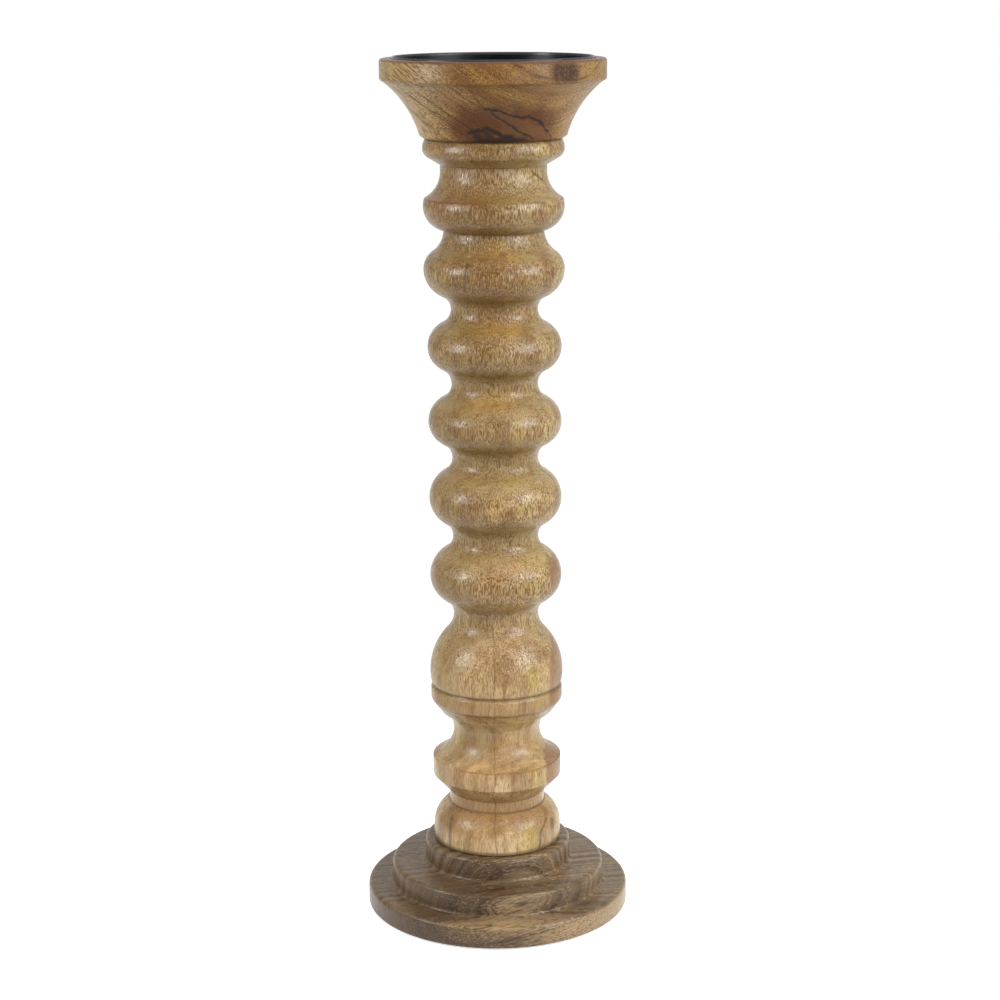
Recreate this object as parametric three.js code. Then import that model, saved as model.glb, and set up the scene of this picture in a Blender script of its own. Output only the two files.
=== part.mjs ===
// Turned wooden candle holder: a three-tier base, a beaded column and a flared cup, drawn together
// by a steel tie rod, with a loose black metal pan for a pillar candle and felt under the base.
// Millimetres, +Z up, origin on the table under the holder's axis.

import * as THREE from 'three';

// Felt disc under the base
const FELT_THICKNESS = 1;
const FELT_INSET = 4;

// Base: three stepped discs turned from one block
const TIER_1_RADIUS = 71;
const TIER_1_HEIGHT = 11.7;
const TIER_2_RADIUS = 57.6;
const TIER_2_HEIGHT = 12;
const TIER_3_RADIUS = 39.4;
const TIER_3_HEIGHT = 12.7;
const TIER_EDGE_ROUND = 2.4;
const TIER_FOOT_COVE = 2.2;
const BASE_BOTTOM_CHAMFER = 0.4;

// Column foot: a drum with a rounded shoulder
const FOOT_RADIUS = 34.5;
const FOOT_DRUM_HEIGHT = 7.6;
const FOOT_SHOULDER_HEIGHT = 13.7;
const FOOT_SHOULDER_DROP = 8.2;

// Neck and flange above the foot
const LOW_NECK_RADIUS = 25.8;
const LOW_NECK_HEIGHT = 6;
const FLANGE_RADIUS = 34.7;
const FLANGE_UNDERSIDE_HEIGHT = 8.7;
const FLANGE_EDGE_ROUND = 0.9;
const FLANGE_WALL_HEIGHT = 10.2;
const FLANGE_COVE_HEIGHT = 15.3;

// Waist and the lip under the ball
const WAIST_RADIUS = 23.3;
const LIP_COVE_HEIGHT = 10.2;
const LIP_QUIRK = 0.7;
const LIP_UNDERCUT = 5.5;
const LIP_SLOPE_HEIGHT = 6;
const LIP_RADIUS = 35.35;
const LIP_EDGE_ROUND = 1.05;
const LIP_EDGE_HEIGHT = 2.5;
const LIP_WALL_HEIGHT = 5.2;
const GROOVE_WIDTH = 3.2;
const GROOVE_DEPTH = 1.3;

// Ball above the groove
const BALL_RADIUS = 35.75;
const BALL_LOWER_HEIGHT = 5.8;
const BALL_LOWER_DROP = 0.55;
const BALL_UPPER_HEIGHT = 31.8;
const BALL_COVE_RADIUS = 13;

// Run of beads between narrow necks
const NECK_RADIUS = 22.7;
const BEAD_UNDER_COVE = 9.2;
const BEAD_OVER_COVE = 8.2;
const BEAD_RADIUS = 35.1;
const LOWER_BEAD_COUNT = 2;
const LOWER_BEAD_PITCH = 42.5;
const UPPER_BEAD_COUNT = 2;
const UPPER_BEAD_PITCH = 39.6;

// Crown bead, ring and cap bead at the head of the column
const CROWN_RADIUS = 36.7;
const CROWN_LOWER_HEIGHT = 21.1;
const CROWN_UPPER_HEIGHT = 20;
const CROWN_UNDER_COVE = 7.5;
const CROWN_OVER_COVE = 13.5;
const CROWN_NECK_RADIUS = 26.15;
const RING_RADIUS = 36.6;
const RING_LOWER_HEIGHT = 12.4;
const RING_UPPER_HEIGHT = 4.1;
const RING_ARRIS_DROP = 0.7;
const HEAD_COVE_HEIGHT = 13.7;
const HEAD_NECK_RADIUS = 27.55;
const HEAD_NECK_HEIGHT = 3.3;
const CAP_RADIUS = 36.6;
const CAP_SLOPE_HEIGHT = 3.8;
const CAP_ROUND_DEPTH = 2.75;
const CAP_ROUND_HEIGHT = 4.6;
const CAP_UPPER_HEIGHT = 4.9;
const CAP_TOP_DROP = 1.4;

// Cup: a flared dish with an upright rim band
const CUP_FOOT_RADIUS = 35.5;
const CUP_FOOT_CHAMFER = 2.4;
const CUP_FOOT_CHAMFER_HEIGHT = 1.7;
const CUP_FLARE_HEIGHT = 27.4;
const CUP_FLARE_CURVE = 53;
const CUP_RIM_RADIUS = 58;
const CUP_RIM_HEIGHT = 11.3;
const CUP_RIM_LOWER_ROUND = 1.6;
const CUP_RIM_TOP_ROUND = 1.6;

// Pan: a shallow pressed dish that drops into the cup
const PAN_RADIUS = 51.9;
const PAN_CLEARANCE = 0.5;
const PAN_SEAT_DEPTH = 11;
const PAN_HEIGHT = 12;
const PAN_GAUGE = 1.2;
const PAN_CORNER_RADIUS = 3;

// Spigots turned on the column's ends, and their sockets
const SPIGOT_RADIUS = 15;
const SPIGOT_LENGTH = 10;
const SPIGOT_CLEARANCE = 0.3;
const SPIGOT_END_GAP = 0.6;

// Tie rod with a washer and a nut at each end
const ROD_RADIUS = 4;
const ROD_BORE_CLEARANCE = 0.5;
const ROD_PROJECTION = 2;
const ROD_END_GAP = 1.5;
const THREAD_CLEARANCE = 0.2;
const NUT_ACROSS_FLATS = 13;
const NUT_HEIGHT = 6.5;
const WASHER_RADIUS = 12;
const WASHER_THICKNESS = 2;
const POCKET_CLEARANCE = 0.8;

// Facets of the turned surfaces
const DISC_SEGMENTS = 40;
const COLUMN_SEGMENTS = 32;
const WASHER_SEGMENTS = 32;
const ROD_SEGMENTS = 16;
const CHORD_SAG = 0.2;

// Heights that the pieces share
const baseBottom = FELT_THICKNESS;
const tier1Top = baseBottom + TIER_1_HEIGHT;
const tier2Top = tier1Top + TIER_2_HEIGHT;
const baseTop = tier2Top + TIER_3_HEIGHT;
const beadRunHeight = LOWER_BEAD_COUNT * LOWER_BEAD_PITCH + UPPER_BEAD_COUNT * UPPER_BEAD_PITCH;
const columnHeight = FOOT_DRUM_HEIGHT + FOOT_SHOULDER_HEIGHT + LOW_NECK_HEIGHT
  + FLANGE_UNDERSIDE_HEIGHT + FLANGE_EDGE_ROUND + FLANGE_WALL_HEIGHT + FLANGE_COVE_HEIGHT
  + LIP_COVE_HEIGHT + LIP_SLOPE_HEIGHT + LIP_EDGE_HEIGHT + LIP_WALL_HEIGHT + GROOVE_WIDTH
  + BALL_LOWER_HEIGHT + BALL_UPPER_HEIGHT + beadRunHeight
  + CROWN_LOWER_HEIGHT + CROWN_UPPER_HEIGHT + RING_LOWER_HEIGHT + RING_UPPER_HEIGHT
  + HEAD_COVE_HEIGHT + HEAD_NECK_HEIGHT + CAP_SLOPE_HEIGHT + CAP_ROUND_HEIGHT + CAP_UPPER_HEIGHT;
const columnTop = baseTop + columnHeight;
const cupTop = columnTop + CUP_FOOT_CHAMFER_HEIGHT + CUP_FLARE_HEIGHT + CUP_RIM_HEIGHT;
const panSeat = cupTop - PAN_SEAT_DEPTH;

// Bores, sockets and pockets that the wooden pieces share with the rod and its fasteners
const rodBore = ROD_RADIUS + ROD_BORE_CLEARANCE;
const socketRadius = SPIGOT_RADIUS + SPIGOT_CLEARANCE;
const socketDepth = SPIGOT_LENGTH + SPIGOT_END_GAP;
const pocketRadius = WASHER_RADIUS + POCKET_CLEARANCE;
const fastenerHeight = WASHER_THICKNESS + NUT_HEIGHT + ROD_PROJECTION;
const pocketDepth = fastenerHeight + ROD_END_GAP;
const basePocketTop = baseBottom + pocketDepth;
const cupPocketFloor = panSeat - pocketDepth;

// Outline of a turned piece: points of radius and height, drawn as lines and arcs
class Outline {
  constructor(radius, height) {
    this.points = [new THREE.Vector2(radius, height)];
  }

  get end() {
    return this.points[this.points.length - 1];
  }

  lineTo(radius, height) {
    this.points.push(new THREE.Vector2(radius, height));
    return this;
  }

  // Line that rises by a height at the present radius
  rise(height) {
    return this.lineTo(this.end.x, this.end.y + height);
  }

  // Arc that leaves the last point along the axis and ends at the given point
  roundTo(radius, height) {
    this.points.push(...arcAlongAxis(this.end, new THREE.Vector2(radius, height)).slice(1));
    return this;
  }

  // Arc from the last point that arrives at the given point along the axis
  sweepTo(radius, height) {
    const reversed = arcAlongAxis(new THREE.Vector2(radius, height), this.end);
    this.points.push(...reversed.reverse().slice(1));
    return this;
  }

  // Two arcs that leave and arrive along the axis, the one at the narrow end with the given radius
  ogeeTo(radius, height, coveRadius) {
    const start = this.end;
    const across = Math.abs(radius - start.x);
    const along = Math.abs(height - start.y);
    const radiusSum = (across ** 2 + along ** 2) / (2 * across);
    const coveShare = coveRadius / radiusSum;
    const share = radius < start.x ? 1 - coveShare : coveShare;
    const middle = start.clone().lerp(new THREE.Vector2(radius, height), share);
    return this.roundTo(middle.x, middle.y).sweepTo(radius, height);
  }

  // Arc of the given radius to a point, hollow side outwards
  hollowTo(radius, height, curve) {
    const start = this.end;
    const target = new THREE.Vector2(radius, height);
    const chord = target.clone().sub(start);
    const half = chord.length() / 2;
    const normal = new THREE.Vector2(chord.y, -chord.x).normalize();
    const centre = start.clone().lerp(target, 0.5).addScaledVector(normal, Math.sqrt(curve ** 2 - half ** 2));
    const startAngle = Math.atan2(start.y - centre.y, start.x - centre.x);
    const turn = 2 * Math.asin(half / curve);
    const steps = arcSteps(turn, curve);
    for (let i = 1; i < steps; i += 1) {
      const angle = startAngle - (turn * i) / steps;
      this.lineTo(centre.x + curve * Math.cos(angle), centre.y + curve * Math.sin(angle));
    }
    return this.lineTo(radius, height);
  }
}

// Number of chords that keep an arc within the allowed sag
function arcSteps(turn, radius) {
  const sagStep = 2 * Math.acos(1 - Math.min(CHORD_SAG / radius, 0.5));
  return Math.max(2, Math.ceil(turn / sagStep));
}

// Points of the arc that leaves one point along the axis and passes through another
function arcAlongAxis(from, to) {
  const across = to.x - from.x;
  const along = to.y - from.y;
  if (across === 0) {
    return [from, to];
  }
  const radius = (across ** 2 + along ** 2) / (2 * Math.abs(across));
  const turn = 2 * Math.atan2(Math.abs(across), Math.abs(along));
  const steps = arcSteps(turn, radius);
  const points = [from];
  for (let i = 1; i < steps; i += 1) {
    const angle = (turn * i) / steps;
    const out = Math.sign(across) * radius * (1 - Math.cos(angle));
    const up = Math.sign(along) * radius * Math.sin(angle);
    points.push(new THREE.Vector2(from.x + out, from.y + up));
  }
  points.push(to);
  return points;
}

// Solid of revolution about Z of an outline drawn counterclockwise, closed on itself or on the axis
function turned(outline, segments) {
  const points = outline.points;
  if (points[0].x > 0) {
    points.push(points[0].clone());
  }
  return new THREE.LatheGeometry(points, segments).rotateX(Math.PI / 2);
}

// Disc or rod standing on a height
function drum(radius, bottom, height, segments) {
  return turned(new Outline(0, bottom).lineTo(radius, bottom).rise(height).lineTo(0, bottom + height), segments);
}

// Base, its top socket for the column and the pocket for the nut underneath
function baseGeometry() {
  const outline = new Outline(pocketRadius, baseBottom);
  outline.lineTo(TIER_1_RADIUS - BASE_BOTTOM_CHAMFER, baseBottom);
  outline.lineTo(TIER_1_RADIUS, baseBottom + BASE_BOTTOM_CHAMFER);
  const tiers = [
    { radius: TIER_1_RADIUS, top: tier1Top, next: TIER_2_RADIUS },
    { radius: TIER_2_RADIUS, top: tier2Top, next: TIER_3_RADIUS },
    { radius: TIER_3_RADIUS, top: baseTop, next: null },
  ];
  for (const { radius, top, next } of tiers) {
    outline.lineTo(radius, top - TIER_EDGE_ROUND).roundTo(radius - TIER_EDGE_ROUND, top);
    if (next !== null) {
      outline.lineTo(next + TIER_FOOT_COVE, top).sweepTo(next, top + TIER_FOOT_COVE);
    }
  }
  outline.lineTo(socketRadius, baseTop).rise(-socketDepth);
  outline.lineTo(rodBore, baseTop - socketDepth).lineTo(rodBore, basePocketTop);
  outline.lineTo(pocketRadius, basePocketTop);
  return turned(outline, DISC_SEGMENTS);
}

// Column, from the spigot in the base up to the spigot in the cup, bored for the tie rod
function columnGeometry() {
  const outline = new Outline(rodBore, baseTop - SPIGOT_LENGTH);
  outline.lineTo(SPIGOT_RADIUS, baseTop - SPIGOT_LENGTH).rise(SPIGOT_LENGTH);
  const heightAbove = (step) => outline.end.y + step;

  outline.lineTo(FOOT_RADIUS, baseTop).rise(FOOT_DRUM_HEIGHT);
  outline.roundTo(FOOT_RADIUS - FOOT_SHOULDER_DROP, heightAbove(FOOT_SHOULDER_HEIGHT));
  outline.lineTo(LOW_NECK_RADIUS, outline.end.y).rise(LOW_NECK_HEIGHT);
  outline.lineTo(FLANGE_RADIUS - FLANGE_EDGE_ROUND, heightAbove(FLANGE_UNDERSIDE_HEIGHT));
  outline.lineTo(FLANGE_RADIUS, heightAbove(FLANGE_EDGE_ROUND)).rise(FLANGE_WALL_HEIGHT);
  outline.sweepTo(WAIST_RADIUS, heightAbove(FLANGE_COVE_HEIGHT));

  const slopeStart = LIP_RADIUS - LIP_UNDERCUT;
  outline.roundTo(slopeStart - LIP_QUIRK, heightAbove(LIP_COVE_HEIGHT));
  outline.lineTo(slopeStart, outline.end.y);
  outline.lineTo(LIP_RADIUS - LIP_EDGE_ROUND, heightAbove(LIP_SLOPE_HEIGHT));
  outline.sweepTo(LIP_RADIUS, heightAbove(LIP_EDGE_HEIGHT)).rise(LIP_WALL_HEIGHT);
  outline.lineTo(LIP_RADIUS - GROOVE_DEPTH, heightAbove(GROOVE_WIDTH / 2));
  outline.lineTo(BALL_RADIUS - BALL_LOWER_DROP, heightAbove(GROOVE_WIDTH / 2));
  outline.sweepTo(BALL_RADIUS, heightAbove(BALL_LOWER_HEIGHT));
  outline.ogeeTo(NECK_RADIUS, heightAbove(BALL_UPPER_HEIGHT), BALL_COVE_RADIUS);

  const pitches = [
    ...Array(LOWER_BEAD_COUNT).fill(LOWER_BEAD_PITCH),
    ...Array(UPPER_BEAD_COUNT).fill(UPPER_BEAD_PITCH),
  ];
  for (const pitch of pitches) {
    outline.ogeeTo(BEAD_RADIUS, heightAbove(pitch / 2), BEAD_UNDER_COVE);
    outline.ogeeTo(NECK_RADIUS, heightAbove(pitch / 2), BEAD_OVER_COVE);
  }

  outline.ogeeTo(CROWN_RADIUS, heightAbove(CROWN_LOWER_HEIGHT), CROWN_UNDER_COVE);
  outline.ogeeTo(CROWN_NECK_RADIUS, heightAbove(CROWN_UPPER_HEIGHT), CROWN_OVER_COVE);
  outline.sweepTo(RING_RADIUS, heightAbove(RING_LOWER_HEIGHT));
  outline.roundTo(RING_RADIUS - RING_ARRIS_DROP, heightAbove(RING_UPPER_HEIGHT));
  outline.sweepTo(HEAD_NECK_RADIUS, heightAbove(HEAD_COVE_HEIGHT)).rise(HEAD_NECK_HEIGHT);
  outline.lineTo(CAP_RADIUS - CAP_ROUND_DEPTH, heightAbove(CAP_SLOPE_HEIGHT));
  outline.sweepTo(CAP_RADIUS, heightAbove(CAP_ROUND_HEIGHT));
  outline.roundTo(CAP_RADIUS - CAP_TOP_DROP, heightAbove(CAP_UPPER_HEIGHT));

  outline.lineTo(SPIGOT_RADIUS, columnTop).rise(SPIGOT_LENGTH);
  outline.lineTo(rodBore, columnTop + SPIGOT_LENGTH);
  return turned(outline, COLUMN_SEGMENTS);
}

// Cup, with the socket for the column below and the seat for the pan and the nut's pocket above
function cupGeometry() {
  const flareStart = CUP_FOOT_RADIUS + CUP_FOOT_CHAMFER;
  const flareBottom = columnTop + CUP_FOOT_CHAMFER_HEIGHT;
  const rimBottom = flareBottom + CUP_FLARE_HEIGHT;
  const seatRadius = PAN_RADIUS + PAN_CLEARANCE;
  const outline = new Outline(socketRadius, columnTop);
  outline.lineTo(CUP_FOOT_RADIUS, columnTop).lineTo(flareStart, flareBottom);
  outline.hollowTo(CUP_RIM_RADIUS - CUP_RIM_LOWER_ROUND, rimBottom, CUP_FLARE_CURVE);
  outline.sweepTo(CUP_RIM_RADIUS, rimBottom + CUP_RIM_LOWER_ROUND);
  outline.lineTo(CUP_RIM_RADIUS, cupTop - CUP_RIM_TOP_ROUND);
  outline.roundTo(CUP_RIM_RADIUS - CUP_RIM_TOP_ROUND, cupTop);
  outline.lineTo(seatRadius, cupTop).lineTo(seatRadius, panSeat);
  outline.lineTo(pocketRadius, panSeat).lineTo(pocketRadius, cupPocketFloor);
  outline.lineTo(rodBore, cupPocketFloor).lineTo(rodBore, columnTop + socketDepth);
  outline.lineTo(socketRadius, columnTop + socketDepth);
  return turned(outline, DISC_SEGMENTS);
}

// Pan: floor, rounded corner and wall of one gauge, open at the top
function panGeometry() {
  const innerCorner = Math.max(PAN_CORNER_RADIUS - PAN_GAUGE, PAN_GAUGE / 2);
  const innerRadius = PAN_RADIUS - PAN_GAUGE;
  const panTop = panSeat + PAN_HEIGHT;
  const floorTop = panSeat + PAN_GAUGE;
  const outline = new Outline(0, panSeat).lineTo(PAN_RADIUS - PAN_CORNER_RADIUS, panSeat);
  outline.sweepTo(PAN_RADIUS, panSeat + PAN_CORNER_RADIUS).lineTo(PAN_RADIUS, panTop);
  outline.lineTo(innerRadius, panTop).lineTo(innerRadius, floorTop + innerCorner);
  outline.roundTo(innerRadius - innerCorner, floorTop).lineTo(0, floorTop);
  return turned(outline, DISC_SEGMENTS);
}

// Flat ring standing on a height
function washerGeometry(bottom) {
  const outline = new Outline(rodBore, bottom).lineTo(WASHER_RADIUS, bottom).rise(WASHER_THICKNESS);
  return turned(outline.lineTo(rodBore, bottom + WASHER_THICKNESS), WASHER_SEGMENTS);
}

// Hexagon nut standing on a height
function nutGeometry(bottom) {
  const cornerRadius = NUT_ACROSS_FLATS / Math.sqrt(3);
  const corners = [0, 1, 2, 3, 4, 5].map((side) => {
    const angle = (side * Math.PI) / 3;
    return new THREE.Vector2(cornerRadius * Math.cos(angle), cornerRadius * Math.sin(angle));
  });
  const hexagon = new THREE.Shape(corners);
  const hole = new THREE.Path();
  hole.absarc(0, 0, ROD_RADIUS + THREAD_CLEARANCE, 0, 2 * Math.PI, true);
  hexagon.holes.push(hole);
  const options = { depth: NUT_HEIGHT, bevelEnabled: false, curveSegments: ROD_SEGMENTS };
  return new THREE.ExtrudeGeometry(hexagon, options).translate(0, 0, bottom);
}

const columnWood = new THREE.MeshStandardMaterial({ color: 0xb28c5a, roughness: 0.42, metalness: 0 });
const cupWood = new THREE.MeshStandardMaterial({ color: 0x9d7444, roughness: 0.45, metalness: 0 });
const baseWood = new THREE.MeshStandardMaterial({ color: 0x7a6450, roughness: 0.55, metalness: 0 });
const blackPan = new THREE.MeshStandardMaterial({ color: 0x17171a, roughness: 0.35, metalness: 0.6 });
const zincSteel = new THREE.MeshStandardMaterial({ color: 0xa9abae, roughness: 0.35, metalness: 1 });
const darkFelt = new THREE.MeshStandardMaterial({ color: 0x2b2a28, roughness: 0.95, metalness: 0 });

const holder = new THREE.Group();
holder.name = 'candle_holder';

function addPart(name, geometry, material) {
  const mesh = new THREE.Mesh(geometry, material);
  mesh.name = name;
  holder.add(mesh);
}

const rodBottom = basePocketTop - fastenerHeight;
const rodTop = cupPocketFloor + fastenerHeight;
addPart('felt_disc', drum(TIER_1_RADIUS - FELT_INSET, 0, FELT_THICKNESS, DISC_SEGMENTS), darkFelt);
addPart('base', baseGeometry(), baseWood);
addPart('column', columnGeometry(), columnWood);
addPart('cup', cupGeometry(), cupWood);
addPart('candle_pan', panGeometry(), blackPan);
addPart('tie_rod', drum(ROD_RADIUS, rodBottom, rodTop - rodBottom, ROD_SEGMENTS), zincSteel);
addPart('base_washer', washerGeometry(basePocketTop - WASHER_THICKNESS), zincSteel);
addPart('base_nut', nutGeometry(basePocketTop - WASHER_THICKNESS - NUT_HEIGHT), zincSteel);
addPart('cup_washer', washerGeometry(cupPocketFloor), zincSteel);
addPart('cup_nut', nutGeometry(cupPocketFloor + WASHER_THICKNESS), zincSteel);

export default holder;
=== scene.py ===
import math

import bmesh
import bpy
from mathutils import Matrix, Vector


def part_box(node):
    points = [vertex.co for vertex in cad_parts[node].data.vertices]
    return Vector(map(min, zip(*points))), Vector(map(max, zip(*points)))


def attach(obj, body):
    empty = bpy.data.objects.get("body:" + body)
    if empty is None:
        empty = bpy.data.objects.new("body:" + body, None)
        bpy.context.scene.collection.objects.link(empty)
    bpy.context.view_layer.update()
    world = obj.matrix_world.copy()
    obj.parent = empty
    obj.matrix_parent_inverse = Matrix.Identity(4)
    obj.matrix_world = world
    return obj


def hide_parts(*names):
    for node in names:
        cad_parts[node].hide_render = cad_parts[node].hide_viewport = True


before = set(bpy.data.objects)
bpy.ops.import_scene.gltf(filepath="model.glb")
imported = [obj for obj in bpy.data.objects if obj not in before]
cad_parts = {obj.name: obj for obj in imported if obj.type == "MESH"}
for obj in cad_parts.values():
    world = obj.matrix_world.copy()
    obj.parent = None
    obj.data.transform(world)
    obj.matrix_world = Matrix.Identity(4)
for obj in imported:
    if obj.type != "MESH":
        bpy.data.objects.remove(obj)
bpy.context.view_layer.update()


# Felt disc
# A thin disc of pressed dark felt, die cut and glued flat under the base. It hides the nut's pocket
# and keeps the wood from scratching a table.
FELT_SIDES = 160
FELT_EDGE_EASE = 0.00015
FELT_EASE_SEGMENTS = 2
FELT_EDGE_ANGLE = math.radians(60)
FELT_SMOOTH_ANGLE = math.radians(40)
FELT_BLACK = 0x2a2927
FELT_GREY = 0x4a4845
FELT_FIBRE_SCALE = 900
FELT_TUFT_SCALE = 160
FELT_ROUGHNESS = 0.95
FELT_SHEEN = 0.25
FELT_NAP_STRENGTH = 0.6
FELT_NAP_DEPTH = 0.0004


def colour(code):
    """A colour written as 0xRRGGBB, as the linear values that a shader takes."""
    parts = [(code >> shift & 255) / 255 for shift in (16, 8, 0)]
    linear = [part / 12.92 if part <= 0.04045 else ((part + 0.055) / 1.055) ** 2.4 for part in parts]
    return (*linear, 1)


def put(tree, socket, amount):
    """Sets a socket to a plain amount, or links another node's output to it."""
    if isinstance(amount, bpy.types.NodeSocket):
        tree.links.new(amount, socket)
    else:
        socket.default_value = amount


def node(tree, kind, inputs, **settings):
    """Adds a shader node with its settings and inputs and gives back its outputs."""
    made = tree.nodes.new("ShaderNode" + kind)
    for name, setting in settings.items():
        setattr(made, name, setting)
    for name, amount in inputs.items():
        put(tree, made.inputs[name], amount)
    return made.outputs


def value(tree, operation, first, second=0.0, third=0.0):
    """The result of a Math node."""
    return node(tree, "Math", {0: first, 1: second, 2: third}, operation=operation)[0]


def times(tree, first, second):
    """The product of two amounts."""
    return value(tree, "MULTIPLY", first, second)


def noise(tree, vector, scale, detail=2.0, roughness=0.5):
    """The outputs of a Noise texture over a vector."""
    inputs = {"Vector": vector, "Scale": scale, "Detail": detail, "Roughness": roughness}
    return node(tree, "TexNoise", inputs)


def ramp(tree, amount, low, high, to_low=0.0, to_high=1.0):
    """An amount carried smoothly from one range to another."""
    inputs = {"Value": amount, "From Min": low, "From Max": high, "To Min": to_low, "To Max": to_high}
    return node(tree, "MapRange", inputs, interpolation_type="SMOOTHSTEP")[0]


def mix(tree, factor, under, over):
    """One colour laid over another by a factor."""
    return node(tree, "Mix", {0: factor, 6: under, 7: over}, data_type="RGBA")[2]


def relief(tree, shader, height, strength, depth):
    """Fine relief on a surface, from a Bump node."""
    bump = node(tree, "Bump", {"Height": height, "Strength": strength, "Distance": depth})["Normal"]
    put(tree, shader["Normal"], bump)


def new_material(name):
    """A node material with its tree, its Principled shader's inputs and its Object coordinates."""
    material = bpy.data.materials.new(name)
    material.use_nodes = True
    tree = material.node_tree
    place = node(tree, "TexCoord", {})["Object"]
    return material, tree, tree.nodes["Principled BSDF"].inputs, place


def felt_material():
    material, tree, shader, place = new_material("pressed_felt")
    fibres = noise(tree, place, FELT_FIBRE_SCALE, detail=4)["Fac"]
    tufts = noise(tree, place, FELT_TUFT_SCALE, detail=3)["Fac"]
    nap = times(tree, fibres, tufts)
    raised = ramp(tree, nap, 0.1, 0.45)
    put(tree, shader["Base Color"], mix(tree, raised, colour(FELT_BLACK), colour(FELT_GREY)))
    shader["Roughness"].default_value = FELT_ROUGHNESS
    shader["Sheen Weight"].default_value = FELT_SHEEN
    relief(tree, shader, nap, FELT_NAP_STRENGTH, FELT_NAP_DEPTH)
    return material


felt_low, felt_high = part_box("felt_disc")
felt_radius = felt_high.x
felt_thickness = felt_high.z - felt_low.z
bpy.ops.object.select_all(action="DESELECT")
bpy.ops.mesh.primitive_cylinder_add(
    vertices=FELT_SIDES,
    radius=felt_radius,
    depth=felt_thickness,
    location=(0, 0, felt_low.z + felt_thickness / 2),
    end_fill_type="TRIFAN",
)
felt = bpy.context.object
felt.name = "felt_pad"
bpy.ops.object.transform_apply(location=True, rotation=True, scale=True)
bpy.ops.object.mode_set(mode="EDIT")
bpy.ops.mesh.select_mode(type="EDGE")
bpy.ops.mesh.select_all(action="DESELECT")
bpy.ops.mesh.edges_select_sharp(sharpness=FELT_EDGE_ANGLE)
bpy.ops.mesh.bevel(offset=FELT_EDGE_EASE, segments=FELT_EASE_SEGMENTS)
bpy.ops.object.mode_set(mode="OBJECT")
bpy.ops.object.shade_smooth_by_angle(angle=FELT_SMOOTH_ANGLE)
felt.data.materials.append(felt_material())
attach(felt, "holder")
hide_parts("felt_disc")


# Base
# Three stepped discs turned from one glued-up block, stained grey-brown and lacquered. A socket on
# top takes the column's spigot, and a pocket underneath takes the rod's nut and washer.
TIER_2_RADIUS = 0.0576
TIER_3_RADIUS = 0.0394
TIER_1_TOP = 0.0127
TIER_2_TOP = 0.0247
TIER_EDGE_ROUND = 0.0024
TIER_FOOT_COVE = 0.0022
BASE_CHAMFER = 0.0004
SOCKET_RADIUS = 0.0153
SOCKET_DEPTH = 0.0106
ROD_BORE = 0.0045
POCKET_RADIUS = 0.0128
POCKET_DEPTH = 0.012
BASE_SEGMENTS = 192
WOOD_EASE = 0.0003

OUTLINE_START = 0.001
CHORD_SAG = 0.00002
MERGE_DISTANCE = 0.000002
CORNER_ANGLE = math.radians(16)
EASE_SEGMENTS = 3
SMOOTH_ANGLE = math.radians(32)


def start_outline(name, radius, height):
    """Starts a turned piece: one vertex of its outline, in the plane of X and Z."""
    bpy.ops.object.select_all(action="DESELECT")
    bpy.ops.mesh.primitive_plane_add(size=OUTLINE_START, location=(0, 0, 0))
    piece = bpy.context.object
    piece.name = name
    bpy.ops.object.mode_set(mode="EDIT")
    bpy.ops.mesh.select_mode(type="VERT")
    bpy.ops.mesh.merge(type="CENTER")
    bpy.ops.transform.translate(value=(radius, 0, height))
    return piece


def pen():
    """The end of the outline being drawn, which is its one selected vertex."""
    drawing = bmesh.from_edit_mesh(bpy.context.object.data)
    return next(vertex.co.copy() for vertex in drawing.verts if vertex.select)


def line_to(radius, height):
    end = pen()
    step = (radius - end.x, 0, height - end.z)
    bpy.ops.mesh.extrude_region_move(TRANSFORM_OT_translate={"value": step})


def rise(height):
    end = pen()
    line_to(end.x, end.z + height)


def above(height):
    """A height measured up from the outline's end."""
    return pen().z + height


def arc(centre_radius, centre_height, turn):
    """Spins the outline's end about a centre; a positive turn runs from +X towards +Z."""
    end = pen()
    size = math.hypot(end.x - centre_radius, end.z - centre_height)
    chord_turn = 2 * math.acos(1 - min(CHORD_SAG / size, 0.5))
    steps = max(3, math.ceil(abs(turn) / chord_turn))
    bpy.ops.mesh.spin(steps=steps, angle=turn, center=(centre_radius, 0, centre_height), axis=(0, 1, 0))


def arc_along_axis(start, end):
    """Radius, with the sign of its side, and turn of the arc that leaves a point along the axis."""
    across = end[0] - start[0]
    along = end[1] - start[1]
    radius = (across ** 2 + along ** 2) / (2 * across)
    turn = 2 * math.atan2(abs(across), abs(along))
    return radius, -math.copysign(turn, across * along)


def round_to(radius, height):
    """An arc that leaves the outline's end along the axis and stops at a point."""
    end = pen()
    offset, turn = arc_along_axis((end.x, end.z), (radius, height))
    arc(end.x + offset, end.z, turn)


def sweep_to(radius, height):
    """An arc from the outline's end that arrives at a point along the axis."""
    end = pen()
    offset, turn = arc_along_axis((radius, height), (end.x, end.z))
    arc(radius + offset, height, -turn)


def ogee_to(radius, height, cove_radius):
    """Two arcs that leave and arrive along the axis, the narrow end's with the given radius."""
    end = pen()
    across = abs(radius - end.x)
    along = abs(height - end.z)
    cove_share = cove_radius * 2 * across / (across ** 2 + along ** 2)
    share = 1 - cove_share if radius < end.x else cove_share
    round_to(end.x + (radius - end.x) * share, end.z + (height - end.z) * share)
    sweep_to(radius, height)


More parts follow.
